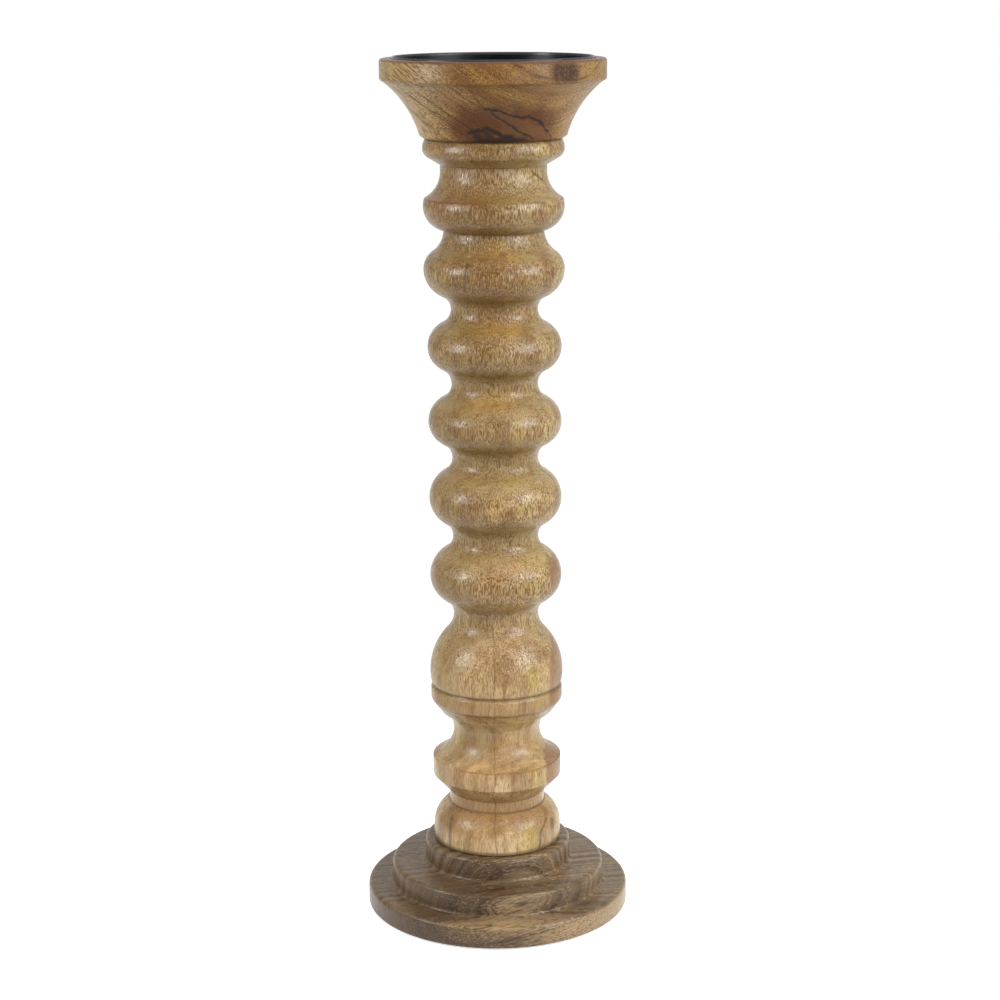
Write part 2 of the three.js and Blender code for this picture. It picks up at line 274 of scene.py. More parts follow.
def turn_outline(piece, segments, ease):
    """Closes the outline, eases its corners and spins it about the axis into a smooth solid."""
    bpy.ops.mesh.select_all(action="SELECT")
    bpy.ops.mesh.remove_doubles(threshold=MERGE_DISTANCE)
    bpy.ops.mesh.select_all(action="DESELECT")
    drawing = bmesh.from_edit_mesh(piece.data)
    for vertex in drawing.verts:
        if len(vertex.link_edges) == 2:
            back, ahead = (edge.other_vert(vertex).co - vertex.co for edge in vertex.link_edges)
            vertex.select = back.angle(-ahead) > CORNER_ANGLE
    drawing.select_flush_mode()
    bmesh.update_edit_mesh(piece.data)
    bpy.ops.mesh.bevel(offset=ease, segments=EASE_SEGMENTS, affect="VERTICES")
    bpy.ops.mesh.select_all(action="SELECT")
    bpy.ops.mesh.spin(steps=segments, angle=2 * math.pi, center=(0, 0, 0), axis=(0, 0, 1))
    bpy.ops.mesh.select_all(action="SELECT")
    bpy.ops.mesh.remove_doubles(threshold=MERGE_DISTANCE)
    bpy.ops.mesh.normals_make_consistent(inside=False)
    bpy.ops.object.mode_set(mode="OBJECT")
    bpy.ops.object.shade_smooth_by_angle(angle=SMOOTH_ANGLE)


base_low, base_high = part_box("base")
base_bottom = base_low.z
base_top = base_high.z
tier_1_radius = base_high.x
base = start_outline("turned_base", POCKET_RADIUS, base_bottom)
line_to(tier_1_radius - BASE_CHAMFER, base_bottom)
line_to(tier_1_radius, base_bottom + BASE_CHAMFER)
tiers = [
    (tier_1_radius, TIER_1_TOP, TIER_2_RADIUS),
    (TIER_2_RADIUS, TIER_2_TOP, TIER_3_RADIUS),
    (TIER_3_RADIUS, base_top, None),
]
for radius, top, next_radius in tiers:
    line_to(radius, top - TIER_EDGE_ROUND)
    round_to(radius - TIER_EDGE_ROUND, top)
    if next_radius is not None:
        line_to(next_radius + TIER_FOOT_COVE, top)
        sweep_to(next_radius, top + TIER_FOOT_COVE)
line_to(SOCKET_RADIUS, base_top)
rise(-SOCKET_DEPTH)
line_to(ROD_BORE, base_top - SOCKET_DEPTH)
line_to(ROD_BORE, base_bottom + POCKET_DEPTH)
line_to(POCKET_RADIUS, base_bottom + POCKET_DEPTH)
line_to(POCKET_RADIUS, base_bottom)
turn_outline(base, BASE_SEGMENTS, WOOD_EASE)


def new_group(name, inputs, outputs):
    """A shader node group with named sockets: its tree, its inputs and where its results go."""
    tree = bpy.data.node_groups.new(name, "ShaderNodeTree")
    for socket, kind in inputs.items():
        tree.interface.new_socket(name=socket, in_out="INPUT", socket_type="NodeSocket" + kind)
    for socket, kind in outputs.items():
        tree.interface.new_socket(name=socket, in_out="OUTPUT", socket_type="NodeSocket" + kind)
    given = tree.nodes.new("NodeGroupInput").outputs
    results = tree.nodes.new("NodeGroupOutput").inputs
    return tree, given, results


def use_group(tree, group, inputs):
    """Places a node group in a material and gives back its outputs."""
    made = tree.nodes.new("ShaderNodeGroup")
    made.node_tree = group
    for name, amount in inputs.items():
        put(tree, made.inputs[name], amount)
    return made.outputs


def vector_math(tree, operation, first, second=(0, 0, 0)):
    """The vector that a Vector Math node gives."""
    return node(tree, "VectorMath", {0: first, 1: second}, operation=operation)["Vector"]


def scaled(tree, vector, amount):
    return node(tree, "VectorMath", {0: vector, "Scale": amount}, operation="SCALE")["Vector"]


def vector_length(tree, vector):
    return node(tree, "VectorMath", {0: vector}, operation="LENGTH")["Value"]


def axis_distance(tree, vector):
    """Distance from the Z axis."""
    return vector_length(tree, vector_math(tree, "MULTIPLY", vector, (1, 1, 0)))


def moved(tree, vector, pattern, reach):
    """A vector moved about by a noise, by about half the reach each way."""
    centred = vector_math(tree, "SUBTRACT", pattern["Color"], (0.5, 0.5, 0.5))
    return vector_math(tree, "ADD", vector, scaled(tree, centred, reach))


def wavy(tree, amount, pattern, reach):
    """An amount moved up and down by a noise, by about half the reach each way."""
    return value(tree, "MULTIPLY_ADD", value(tree, "SUBTRACT", pattern["Fac"], 0.5), reach, amount)


def squeezed(tree, vector, length):
    """A vector squeezed along Z, so that a pattern on it is drawn out to a length."""
    squeeze = node(tree, "CombineXYZ", {"X": 1.0, "Y": 1.0, "Z": value(tree, "DIVIDE", 1.0, length)})
    return vector_math(tree, "MULTIPLY", vector, squeeze["Vector"])


def drawn_noise(tree, vector, share, scale, detail):
    """The outputs of a Noise texture drawn out along Z, with only a share of the change along it."""
    return noise(tree, vector_math(tree, "MULTIPLY", vector, (1, 1, share)), scale, detail=detail)


FIGURE_SHARE = 0.25
SWIRL_SCALE = 30
BAND_SCALE = 0.4
YEAR_SCALE = 0.8
YEAR_SPREAD = 1.6
LINE_GAP_SCALE = 90
FIBRE_SCALE = 1900
CROWD_SHARE = 0.5
CROWD_SCALE = 110
CROWD_EFFECT = 2.2
PORE_CORE = 0.4


def ring_noise(tree, ring, scale, detail):
    """A noise that changes from ring to ring."""
    inputs = {"W": ring, "Scale": scale, "Detail": detail}
    return node(tree, "TexNoise", inputs, noise_dimensions="1D")["Fac"]


def wood_figure_group():
    """Growth rings about the wood's own Z axis, as soft bands and thin lines, and the fibres along it."""
    tree, given, results = new_group(
        "wood_figure",
        {"Vector": "Vector", "Ring Width": "Float", "Waviness": "Float", "Fibre Length": "Float"},
        {"Radius": "Float", "Bands": "Float", "Lines": "Float", "Fibres": "Float"},
    )
    swirl = drawn_noise(tree, given["Vector"], FIGURE_SHARE, SWIRL_SCALE, detail=4)
    bent = moved(tree, given["Vector"], swirl, given["Waviness"])
    radius = axis_distance(tree, bent)
    put(tree, results["Radius"], radius)
    ring = value(tree, "DIVIDE", radius, given["Ring Width"])
    put(tree, results["Bands"], ramp(tree, ring_noise(tree, ring, BAND_SCALE, detail=3.0), 0.3, 0.7))
    years = ring_noise(tree, ring, YEAR_SCALE, detail=1.0)
    late = value(tree, "PINGPONG", value(tree, "MULTIPLY_ADD", years, YEAR_SPREAD, ring), 0.5)
    gaps = drawn_noise(tree, given["Vector"], FIGURE_SHARE, LINE_GAP_SCALE, detail=2)["Fac"]
    put(tree, results["Lines"], times(tree, ramp(tree, late, 0.33, 0.5), ramp(tree, gaps, 0.35, 0.6)))
    drawn = squeezed(tree, bent, given["Fibre Length"])
    fibres = noise(tree, drawn, FIBRE_SCALE, detail=2, roughness=0.6)["Fac"]
    put(tree, results["Fibres"], ramp(tree, fibres, 0.38, 0.57))
    return tree


def wood_pores_group():
    """Open vessels along the wood's own Z axis: dashes where it is cut along, dots where cut across."""
    tree, given, results = new_group(
        "wood_pores",
        {"Vector": "Vector", "Scale": "Float", "Length": "Float", "Width": "Float"},
        {"Pores": "Float"},
    )
    cells = squeezed(tree, given["Vector"], given["Length"])
    vessel = node(tree, "TexVoronoi", {"Vector": cells, "Scale": given["Scale"]})
    chance = node(tree, "SeparateXYZ", {"Vector": vessel["Color"]})["X"]
    crowd = drawn_noise(tree, given["Vector"], CROWD_SHARE, CROWD_SCALE, detail=3)
    share = wavy(tree, chance, crowd, CROWD_EFFECT)
    size = times(tree, given["Width"], ramp(tree, share, 0.0, 1.0, 0.1, 1.0))
    inner = times(tree, size, PORE_CORE)
    inputs = {"Value": vessel["Distance"], "From Min": size, "From Max": inner}
    put(tree, results["Pores"], node(tree, "MapRange", inputs)[0])
    return tree


def ring_edge_group():
    """Distance from a ring about the turning axis, such as a turned edge or a groove."""
    tree, given, results = new_group(
        "ring_edge",
        {"Vector": "Vector", "Radius": "Float", "Height": "Float"},
        {"Distance": "Float"},
    )
    height = node(tree, "SeparateXYZ", {"Vector": given["Vector"]})["Z"]
    across = value(tree, "SUBTRACT", axis_distance(tree, given["Vector"]), given["Radius"])
    along = value(tree, "SUBTRACT", height, given["Height"])
    offset = node(tree, "CombineXYZ", {"X": across, "Y": along})["Vector"]
    put(tree, results["Distance"], vector_length(tree, offset))
    return tree


def stroke_group():
    """Distance from a straight stroke between two points."""
    tree, given, results = new_group(
        "stroke",
        {"Vector": "Vector", "Start": "Vector", "End": "Vector"},
        {"Distance": "Float"},
    )
    span = vector_math(tree, "SUBTRACT", given["End"], given["Start"])
    reach = vector_math(tree, "SUBTRACT", given["Vector"], given["Start"])
    along = node(tree, "VectorMath", {0: reach, 1: span}, operation="DOT_PRODUCT")["Value"]
    whole = node(tree, "VectorMath", {0: span, 1: span}, operation="DOT_PRODUCT")["Value"]
    share = node(tree, "Clamp", {"Value": value(tree, "DIVIDE", along, whole)})[0]
    rest = vector_math(tree, "SUBTRACT", reach, scaled(tree, span, share))
    put(tree, results["Distance"], vector_length(tree, rest))
    return tree


wood_figure = wood_figure_group()
wood_pores = wood_pores_group()
ring_edge = ring_edge_group()
stroke = stroke_group()


def grain_along(tree, place, pith, turn):
    """Place measured from the tree's pith and turned so that the grain runs along Z."""
    from_pith = vector_math(tree, "SUBTRACT", place, pith)
    return node(tree, "Mapping", {"Vector": from_pith, "Rotation": turn})["Vector"]


def figure_along(tree, grain, sizes):
    return use_group(tree, wood_figure, {"Vector": grain, **sizes})


def pores_along(tree, grain, sizes):
    return use_group(tree, wood_pores, {"Vector": grain, **sizes})["Pores"]


def ring_distance(tree, place, radius, height):
    """Distance from a ring about the turning axis."""
    inputs = {"Vector": place, "Radius": radius, "Height": height}
    return use_group(tree, ring_edge, inputs)["Distance"]


def stroke_distance(tree, vector, points):
    """Distance from a line drawn through several points."""
    nearest = None
    for start, end in zip(points, points[1:]):
        distance = use_group(tree, stroke, {"Vector": vector, "Start": start, "End": end})["Distance"]
        nearest = distance if nearest is None else value(tree, "MINIMUM", nearest, distance)
    return nearest


RING_CORE = 0.2
STROKE_CORE = 0.3
PORE_DULLING = 0.25
FIBRE_HEIGHT = 0.4
WOOD_RELIEF_STRENGTH = 0.55
WOOD_RELIEF_DEPTH = 0.00015


def tint(tree, wood, amount, strength, code):
    """The wood's colour with another laid over it."""
    return mix(tree, times(tree, amount, strength), wood, colour(code))


def paint(tree, wood, tints):
    """Lays tints over the wood in turn, each given by where it lies, its strength and its colour."""
    for amount, strength, code in tints:
        wood = tint(tree, wood, amount, strength, code)
    return wood


def tint_rings(tree, wood, place, breaks, rings, code):
    """Colours turned edges or grooves, each given by radius, height, reach and strength."""
    for radius, height, reach, strength in rings:
        near = ramp(tree, ring_distance(tree, place, radius, height), reach, reach * RING_CORE)
        wood = tint(tree, wood, times(tree, near, breaks), strength, code)
    return wood


def tint_strokes(tree, wood, place, strokes, core=STROKE_CORE, swell=1.0):
    """Colours marks, each given by reach, strength, colour and the points that it runs through."""
    for reach, strength, code, points in strokes:
        distance = value(tree, "DIVIDE", stroke_distance(tree, place, points), swell)
        wood = tint(tree, wood, ramp(tree, distance, reach, reach * core), strength, code)
    return wood


def lacquer(tree, shader, wood, fibres, pores, roughness, gloss):
    """Finishes a wood: its colour, its gloss, which the pores break up, and its fine relief."""
    put(tree, shader["Base Color"], wood)
    shader["Specular IOR Level"].default_value = gloss
    put(tree, shader["Roughness"], value(tree, "MULTIPLY_ADD", pores, PORE_DULLING, roughness))
    height = value(tree, "SUBTRACT", times(tree, fibres, FIBRE_HEIGHT), pores)
    relief(tree, shader, height, WOOD_RELIEF_STRENGTH, WOOD_RELIEF_DEPTH)


BASE_TAUPE = 0x9a7e5b
BASE_DARK = 0x453120
BASE_TAN = 0xb1946c
BASE_GREY = 0x82745a
BASE_PORE = 0x2f2117
BASE_SHADE = 0x624f38
BASE_SHADOW = [(-0.032, -0.045, 0.020), (-0.008, -0.042, 0.031)]
BASE_PITH = (0.0145, -0.0635, 0.019)
BASE_GRAIN_TURN = (math.radians(58), math.radians(-74.8), 0)
BASE_FIGURE = {"Ring Width": 0.0014, "Waviness": 0.004, "Fibre Length": 30.0}
BASE_PORES = {"Scale": 1000.0, "Length": 9.0, "Width": 0.36}
BASE_FLECKS = {"Scale": 1300.0, "Length": 5.0, "Width": 0.5}
BASE_ROUGHNESS = 0.29
BASE_GLOSS = 0.32


def base_material():
    material, tree, shader, place = new_material("grey_brown_wood")
    axes = node(tree, "SeparateXYZ", {"Vector": place})
    side = axes["X"]
    grain = grain_along(tree, place, BASE_PITH, BASE_GRAIN_TURN)
    figure = figure_along(tree, grain, BASE_FIGURE)
    from_pith = figure["Radius"]
    pores = pores_along(tree, grain, BASE_PORES)
    flecks = pores_along(tree, grain, BASE_FLECKS)

    # painted highlight: a pale patch round the heart of the figure, at the front right of the tiers
    painted_highlight_at_heart = ramp(tree, from_pith, 0.012, 0.007)
    dark_ring = times(tree, ramp(tree, from_pith, 0.012, 0.0145), ramp(tree, from_pith, 0.03, 0.02))
    left = ramp(tree, side, 0.01, -0.05)
    shadow = ramp(tree, stroke_distance(tree, place, BASE_SHADOW), 0.024, 0.008)
    low = ramp(tree, axes["Z"], TIER_1_TOP - 0.0004, TIER_1_TOP - 0.002)
    low_left = times(tree, low, ramp(tree, side, 0.03, -0.03))
    low_right = times(tree, low, ramp(tree, side, 0.005, 0.04))
    between_fibres = ramp(tree, figure["Fibres"], 0.8, 0.0)
    middle = ramp(tree, value(tree, "ABSOLUTE", side), 0.045, 0.02, 0.4, 1.0)
    clouds = ramp(tree, noise(tree, place, scale=34, detail=4)["Fac"], 0.5, 0.7, 0.0, 0.35)
    greyed = value(tree, "ADD", ramp(tree, side, 0.0, 0.07, 0.0, 0.6), clouds)
    right_flecks = times(tree, flecks, ramp(tree, side, -0.04, 0.03, 0.45, 1.0))
    wood = mix(tree, figure["Bands"], colour(BASE_DARK), colour(BASE_TAUPE))
    wood = paint(tree, wood, [
        (painted_highlight_at_heart, 0.5, BASE_TAN),
        (dark_ring, 0.6, BASE_DARK),
        (left, 0.6, BASE_SHADE),
        (shadow, 0.55, BASE_DARK),
        (low_left, 0.6, BASE_DARK),
        (low_right, 0.85, BASE_TAN),
        (between_fibres, 0.6, BASE_PORE),
        (times(tree, figure["Lines"], middle), 0.8, BASE_PORE),
        (greyed, 0.4, BASE_GREY),
        (pores, 0.85, BASE_PORE),
        (right_flecks, 0.6, BASE_TAN),
    ])
    rubbed = ramp(tree, noise(tree, place, scale=90, detail=4)["Fac"], 0.35, 0.65)
    worn_edges = [
        (tier_1_radius, TIER_1_TOP, 0.002, 0.2),
        (TIER_2_RADIUS, TIER_2_TOP, 0.002, 0.1),
        (TIER_3_RADIUS, base_top, 0.002, 0.1),
        (TIER_2_RADIUS + TIER_FOOT_COVE, TIER_1_TOP, 0.001, 0.1),
        (TIER_3_RADIUS + TIER_FOOT_COVE, TIER_2_TOP, 0.001, 0.15),
    ]
    wood = tint_rings(tree, wood, place, rubbed, worn_edges, BASE_TAN)
    lacquer(tree, shader, wood, figure["Fibres"], pores, BASE_ROUGHNESS, BASE_GLOSS)
    return material


base.data.materials.append(base_material())
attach(base, "holder")
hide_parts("base")


# Lower washer
# A flat steel ring punched from plate, zinc plated. It lies against the top of the base's pocket and
# spreads the nut's pull.
WASHER_SEGMENTS = 96
WASHER_EASE = 0.0003
ZINC = 0xb7b9bc
ZINC_DULL = 0x94969a
ZINC_CLOUD_SCALE = 260


def zinc_material():
    material, tree, shader, place = new_material("zinc_plate")
    cloud = noise(tree, place, ZINC_CLOUD_SCALE, detail=4)["Fac"]
    dulled = ramp(tree, cloud, 0.35, 0.7)
    put(tree, shader["Base Color"], mix(tree, dulled, colour(ZINC), colour(ZINC_DULL)))
    shader["Metallic"].default_value = 1.0
    put(tree, shader["Roughness"], ramp(tree, cloud, 0.3, 0.7, 0.28, 0.42))
    return material


def make_washer(name, cad_node):
    low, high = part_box(cad_node)
    washer = start_outline(name, ROD_BORE, low.z)
    line_to(high.x, low.z)
    line_to(high.x, high.z)
    line_to(ROD_BORE, high.z)
    line_to(ROD_BORE, low.z)
    turn_outline(washer, WASHER_SEGMENTS, WASHER_EASE)
    washer.data.materials.append(zinc)
    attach(washer, "holder")
    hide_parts(cad_node)


zinc = zinc_material()
make_washer("lower_washer", "base_washer")


# Lower nut
# A hexagon nut pressed from steel bar, chamfered on both faces and zinc plated. It screws up the rod
# against the washer.
NUT_SIDES = 6
NUT_THREAD_RADIUS = 0.0042
NUT_MOUTH = 0.0006
NUT_FACE_SHARE = 0.96
NUT_SPARE = 0.0003
NUT_CHAMFER = math.radians(30)
NUT_SEGMENTS = 96
NUT_EASE = 0.0001


def make_nut(name, cad_node):
    low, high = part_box(cad_node)
    corner = high.x
    face = corner * math.cos(math.pi / NUT_SIDES) * NUT_FACE_SHARE
    slope = (corner + NUT_SPARE - face) * math.tan(NUT_CHAMFER)
    nut = start_outline(name, NUT_THREAD_RADIUS, low.z + NUT_MOUTH)
    line_to(NUT_THREAD_RADIUS + NUT_MOUTH, low.z)
    line_to(face, low.z)
    line_to(corner + NUT_SPARE, low.z + slope)
    line_to(corner + NUT_SPARE, high.z - slope)
    line_to(face, high.z)
    line_to(NUT_THREAD_RADIUS + NUT_MOUTH, high.z)
    line_to(NUT_THREAD_RADIUS, high.z - NUT_MOUTH)
    line_to(NUT_THREAD_RADIUS, low.z + NUT_MOUTH)
    turn_outline(nut, NUT_SEGMENTS, NUT_EASE)
    bpy.ops.object.select_all(action="DESELECT")
    bpy.ops.mesh.primitive_cylinder_add(
        vertices=NUT_SIDES,
        radius=corner,
        depth=(high.z - low.z) * 2,
        location=(0, 0, (low.z + high.z) / 2),
        rotation=(0, 0, math.pi / NUT_SIDES),
    )
    hexagon = bpy.context.object
    bpy.ops.object.select_all(action="DESELECT")
    nut.select_set(True)
    bpy.context.view_layer.objects.active = nut
    cut = nut.modifiers.new("hexagon", "BOOLEAN")
    cut.operation = "INTERSECT"
    cut.object = hexagon
    bpy.ops.object.modifier_apply(modifier=cut.name)
    bpy.ops.object.shade_smooth_by_angle(angle=SMOOTH_ANGLE)
    bpy.data.objects.remove(hexagon)
    nut.data.materials.append(zinc)
    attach(nut, "holder")
    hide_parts(cad_node)


make_nut("lower_nut", "base_nut")


# Threaded rod
# A length of steel rod with a thread rolled along all of it, zinc plated. It runs up through base,
# column and cup and draws them together.
THREAD_PITCH = 0.00125
THREAD_DEPTH = 0.00065
THREAD_STEPS = 18
THREAD_ROOT = THREAD_PITCH / 4
THREAD_FLANK = THREAD_PITCH * 5 / 16
THREAD_CREST = THREAD_PITCH / 8
THREAD_SPARE_TURNS = 2

rod_low, rod_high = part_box("tie_rod")
rod_radius = rod_high.x
thread_root = rod_radius - THREAD_DEPTH
rod = start_outline("threaded_rod", thread_root, rod_low.z - THREAD_SPARE_TURNS * THREAD_PITCH)
rise(THREAD_ROOT)
line_to(rod_radius, above(THREAD_FLANK))
rise(THREAD_CREST)
line_to(thread_root, above(THREAD_FLANK))
bpy.ops.object.mode_set(mode="OBJECT")
thread = rod.modifiers.new("thread", "SCREW")
thread.axis = "Z"
thread.screw_offset = THREAD_PITCH
thread.iterations = math.ceil((rod_high.z - rod_low.z) / THREAD_PITCH) + 2 * THREAD_SPARE_TURNS
thread.steps = THREAD_STEPS
thread.render_steps = THREAD_STEPS
thread.use_merge_vertices = True
bpy.ops.object.modifier_apply(modifier=thread.name)
bpy.ops.object.mode_set(mode="EDIT")
bpy.ops.mesh.select_all(action="SELECT")
bpy.ops.mesh.remove_doubles(threshold=MERGE_DISTANCE)
for cut_height, drop_below, drop_above in ((rod_low.z, True, False), (rod_high.z, False, True)):
    bpy.ops.mesh.select_all(action="SELECT")
    bpy.ops.mesh.bisect(
        plane_co=(0, 0, cut_height),
        plane_no=(0, 0, 1),
        use_fill=True,
        clear_inner=drop_below,
        clear_outer=drop_above,
    )
bpy.ops.mesh.select_all(action="SELECT")
bpy.ops.mesh.normals_make_consistent(inside=False)
bpy.ops.object.mode_set(mode="OBJECT")
bpy.ops.object.shade_smooth_by_angle(angle=SMOOTH_ANGLE)
rod.data.materials.append(zinc)
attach(rod, "holder")
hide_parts("tie_rod")


# Column
# One length of light wood turned between centres: foot drum, flange, lip, ball, a run of beads, crown
# bead, ring and cap. It is bored through for the rod, has a spigot on each end and a clear lacquer.
FOOT_RADIUS = 0.0345
FOOT_DRUM_HEIGHT = 0.0076
FOOT_SHOULDER_HEIGHT = 0.0137
FOOT_SHOULDER_DROP = 0.0082
FOOT_CHAMFER = 0.0006
LOW_NECK_RADIUS = 0.0258
LOW_NECK_HEIGHT = 0.006
FLANGE_RADIUS = 0.0347
FLANGE_UNDERSIDE_HEIGHT = 0.0087
FLANGE_EDGE_ROUND = 0.0009
FLANGE_WALL_HEIGHT = 0.0102
FLANGE_COVE_HEIGHT = 0.0153
WAIST_RADIUS = 0.0233
LIP_COVE_HEIGHT = 0.0102
LIP_QUIRK = 0.0007
LIP_UNDERCUT = 0.0055
LIP_SLOPE_HEIGHT = 0.006
LIP_RADIUS = 0.03535
LIP_EDGE_ROUND = 0.00105
LIP_EDGE_HEIGHT = 0.0025
LIP_WALL_HEIGHT = 0.0052
GROOVE_WIDTH = 0.0032
GROOVE_DEPTH = 0.0013
BALL_RADIUS = 0.03575
BALL_LOWER_HEIGHT = 0.0058
BALL_LOWER_DROP = 0.00055
BALL_UPPER_HEIGHT = 0.0318
BALL_COVE_RADIUS = 0.013
NECK_RADIUS = 0.0227
BEAD_RADIUS = 0.0351
BEAD_UNDER_COVE = 0.0092
BEAD_OVER_COVE = 0.0082
BEAD_PITCHES = (0.0425, 0.0425, 0.0396, 0.0396)
CROWN_LOWER_HEIGHT = 0.0211
CROWN_UPPER_HEIGHT = 0.02
CROWN_UNDER_COVE = 0.0075
CROWN_OVER_COVE = 0.0135
CROWN_NECK_RADIUS = 0.02615
RING_RADIUS = 0.0366
RING_LOWER_HEIGHT = 0.0124
RING_UPPER_HEIGHT = 0.0041
RING_ARRIS_DROP = 0.0007
HEAD_COVE_HEIGHT = 0.0137
HEAD_NECK_RADIUS = 0.02755
HEAD_NECK_HEIGHT = 0.0033
CAP_RADIUS = 0.0366
CAP_SLOPE_HEIGHT = 0.0038
CAP_ROUND_DEPTH = 0.00275
CAP_ROUND_HEIGHT = 0.0046
CAP_UPPER_HEIGHT = 0.0049
CAP_TOP_DROP = 0.0014
SPIGOT_RADIUS = 0.015
COLUMN_SEGMENTS = 160

column_low, column_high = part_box("column")
crown_radius = column_high.x
column = start_outline("turned_column", ROD_BORE, column_low.z)
line_to(SPIGOT_RADIUS, column_low.z)
line_to(SPIGOT_RADIUS, base_top)
line_to(FOOT_RADIUS - FOOT_CHAMFER, base_top)
line_to(FOOT_RADIUS, base_top + FOOT_CHAMFER)
line_to(FOOT_RADIUS, base_top + FOOT_DRUM_HEIGHT)
round_to(FOOT_RADIUS - FOOT_SHOULDER_DROP, above(FOOT_SHOULDER_HEIGHT))
line_to(LOW_NECK_RADIUS, above(0))
foot_top = above(0)
rise(LOW_NECK_HEIGHT)
line_to(FLANGE_RADIUS - FLANGE_EDGE_ROUND, above(FLANGE_UNDERSIDE_HEIGHT))
line_to(FLANGE_RADIUS, above(FLANGE_EDGE_ROUND))
rise(FLANGE_WALL_HEIGHT)
flange_top = above(0)
sweep_to(WAIST_RADIUS, above(FLANGE_COVE_HEIGHT))
round_to(LIP_RADIUS - LIP_UNDERCUT - LIP_QUIRK, above(LIP_COVE_HEIGHT))
line_to(LIP_RADIUS - LIP_UNDERCUT, above(0))
quirk_height = above(0)
line_to(LIP_RADIUS - LIP_EDGE_ROUND, above(LIP_SLOPE_HEIGHT))
sweep_to(LIP_RADIUS, above(LIP_EDGE_HEIGHT))
rise(LIP_WALL_HEIGHT)
line_to(LIP_RADIUS - GROOVE_DEPTH, above(GROOVE_WIDTH / 2))
groove_height = above(0)
line_to(BALL_RADIUS - BALL_LOWER_DROP, above(GROOVE_WIDTH / 2))
sweep_to(BALL_RADIUS, above(BALL_LOWER_HEIGHT))
ogee_to(NECK_RADIUS, above(BALL_UPPER_HEIGHT), BALL_COVE_RADIUS)
for pitch in BEAD_PITCHES:
    ogee_to(BEAD_RADIUS, above(pitch / 2), BEAD_UNDER_COVE)
    ogee_to(NECK_RADIUS, above(pitch / 2), BEAD_OVER_COVE)
ogee_to(crown_radius, above(CROWN_LOWER_HEIGHT), CROWN_UNDER_COVE)
ogee_to(CROWN_NECK_RADIUS, above(CROWN_UPPER_HEIGHT), CROWN_OVER_COVE)
crown_step = above(0)
sweep_to(RING_RADIUS, above(RING_LOWER_HEIGHT))
round_to(RING_RADIUS - RING_ARRIS_DROP, above(RING_UPPER_HEIGHT))
ring_arris = above(0)
sweep_to(HEAD_NECK_RADIUS, above(HEAD_COVE_HEIGHT))
rise(HEAD_NECK_HEIGHT)
head_step = above(0)
line_to(CAP_RADIUS - CAP_ROUND_DEPTH, above(CAP_SLOPE_HEIGHT))
sweep_to(CAP_RADIUS, above(CAP_ROUND_HEIGHT))
round_to(CAP_RADIUS - CAP_TOP_DROP, above(CAP_UPPER_HEIGHT))
column_top = above(0)
line_to(SPIGOT_RADIUS, column_top)
line_to(SPIGOT_RADIUS, column_high.z)
line_to(ROD_BORE, column_high.z)
line_to(ROD_BORE, column_low.z)
turn_outline(column, COLUMN_SEGMENTS, WOOD_EASE)

COLUMN_PALE = 0xddc093
COLUMN_HONEY = 0xb09467
COLUMN_GRAIN = 0x5c3b14
COLUMN_ORANGE = 0xbc955f
COLUMN_OLIVE = 0x87713a
COLUMN_YELLOW = 0xc1a859
COLUMN_PINK = 0x967046
COLUMN_BROWN = 0x7d5526
COLUMN_SAP_AND_LIT_SIDE = 0xc7b281
COLUMN_HEART = 0x7a5426
COLUMN_GREY = 0x6b5f3e
COLUMN_SLAB = 0x8a6643
COLUMN_CRACKS_AND_SHADE = 0x4b3b1c
COLUMN_RED = 0x7d482b
COLUMN_LIGHT = 0xcdb88f
COLUMN_GOLD = 0xc49a55
COLUMN_PITH = (-0.02, 0.034, 0.2)
COLUMN_GRAIN_TURN = (math.radians(-3.7), math.radians(-2.1), 0)
COLUMN_FIGURE = {"Ring Width": 0.0042, "Waviness": 0.008, "Fibre Length": 12.0}
COLUMN_PORES = {"Scale": 1450.0, "Length": 6.0, "Width": 0.5}
COLUMN_DOTS = {"Scale": 620.0, "Length": 5.0, "Width": 0.42}
COLUMN_ROUGHNESS = 0.25
COLUMN_GLOSS = 0.4
COLUMN_LAYER = 0.0676
COLUMN_KNOT = (0.0196, -0.0290, 0.3080)
KNOT_RING = 0.0017
KNOT_RADIUS = 0.0095
SLAB_START = 0.0232
SLAB_LEAN = 0.03
SLAB_WAVE = 0.008
SLAB_BOTTOM = 0.066
CHECK_WIDTH = 0.0006
CHECK_FADE = 0.004
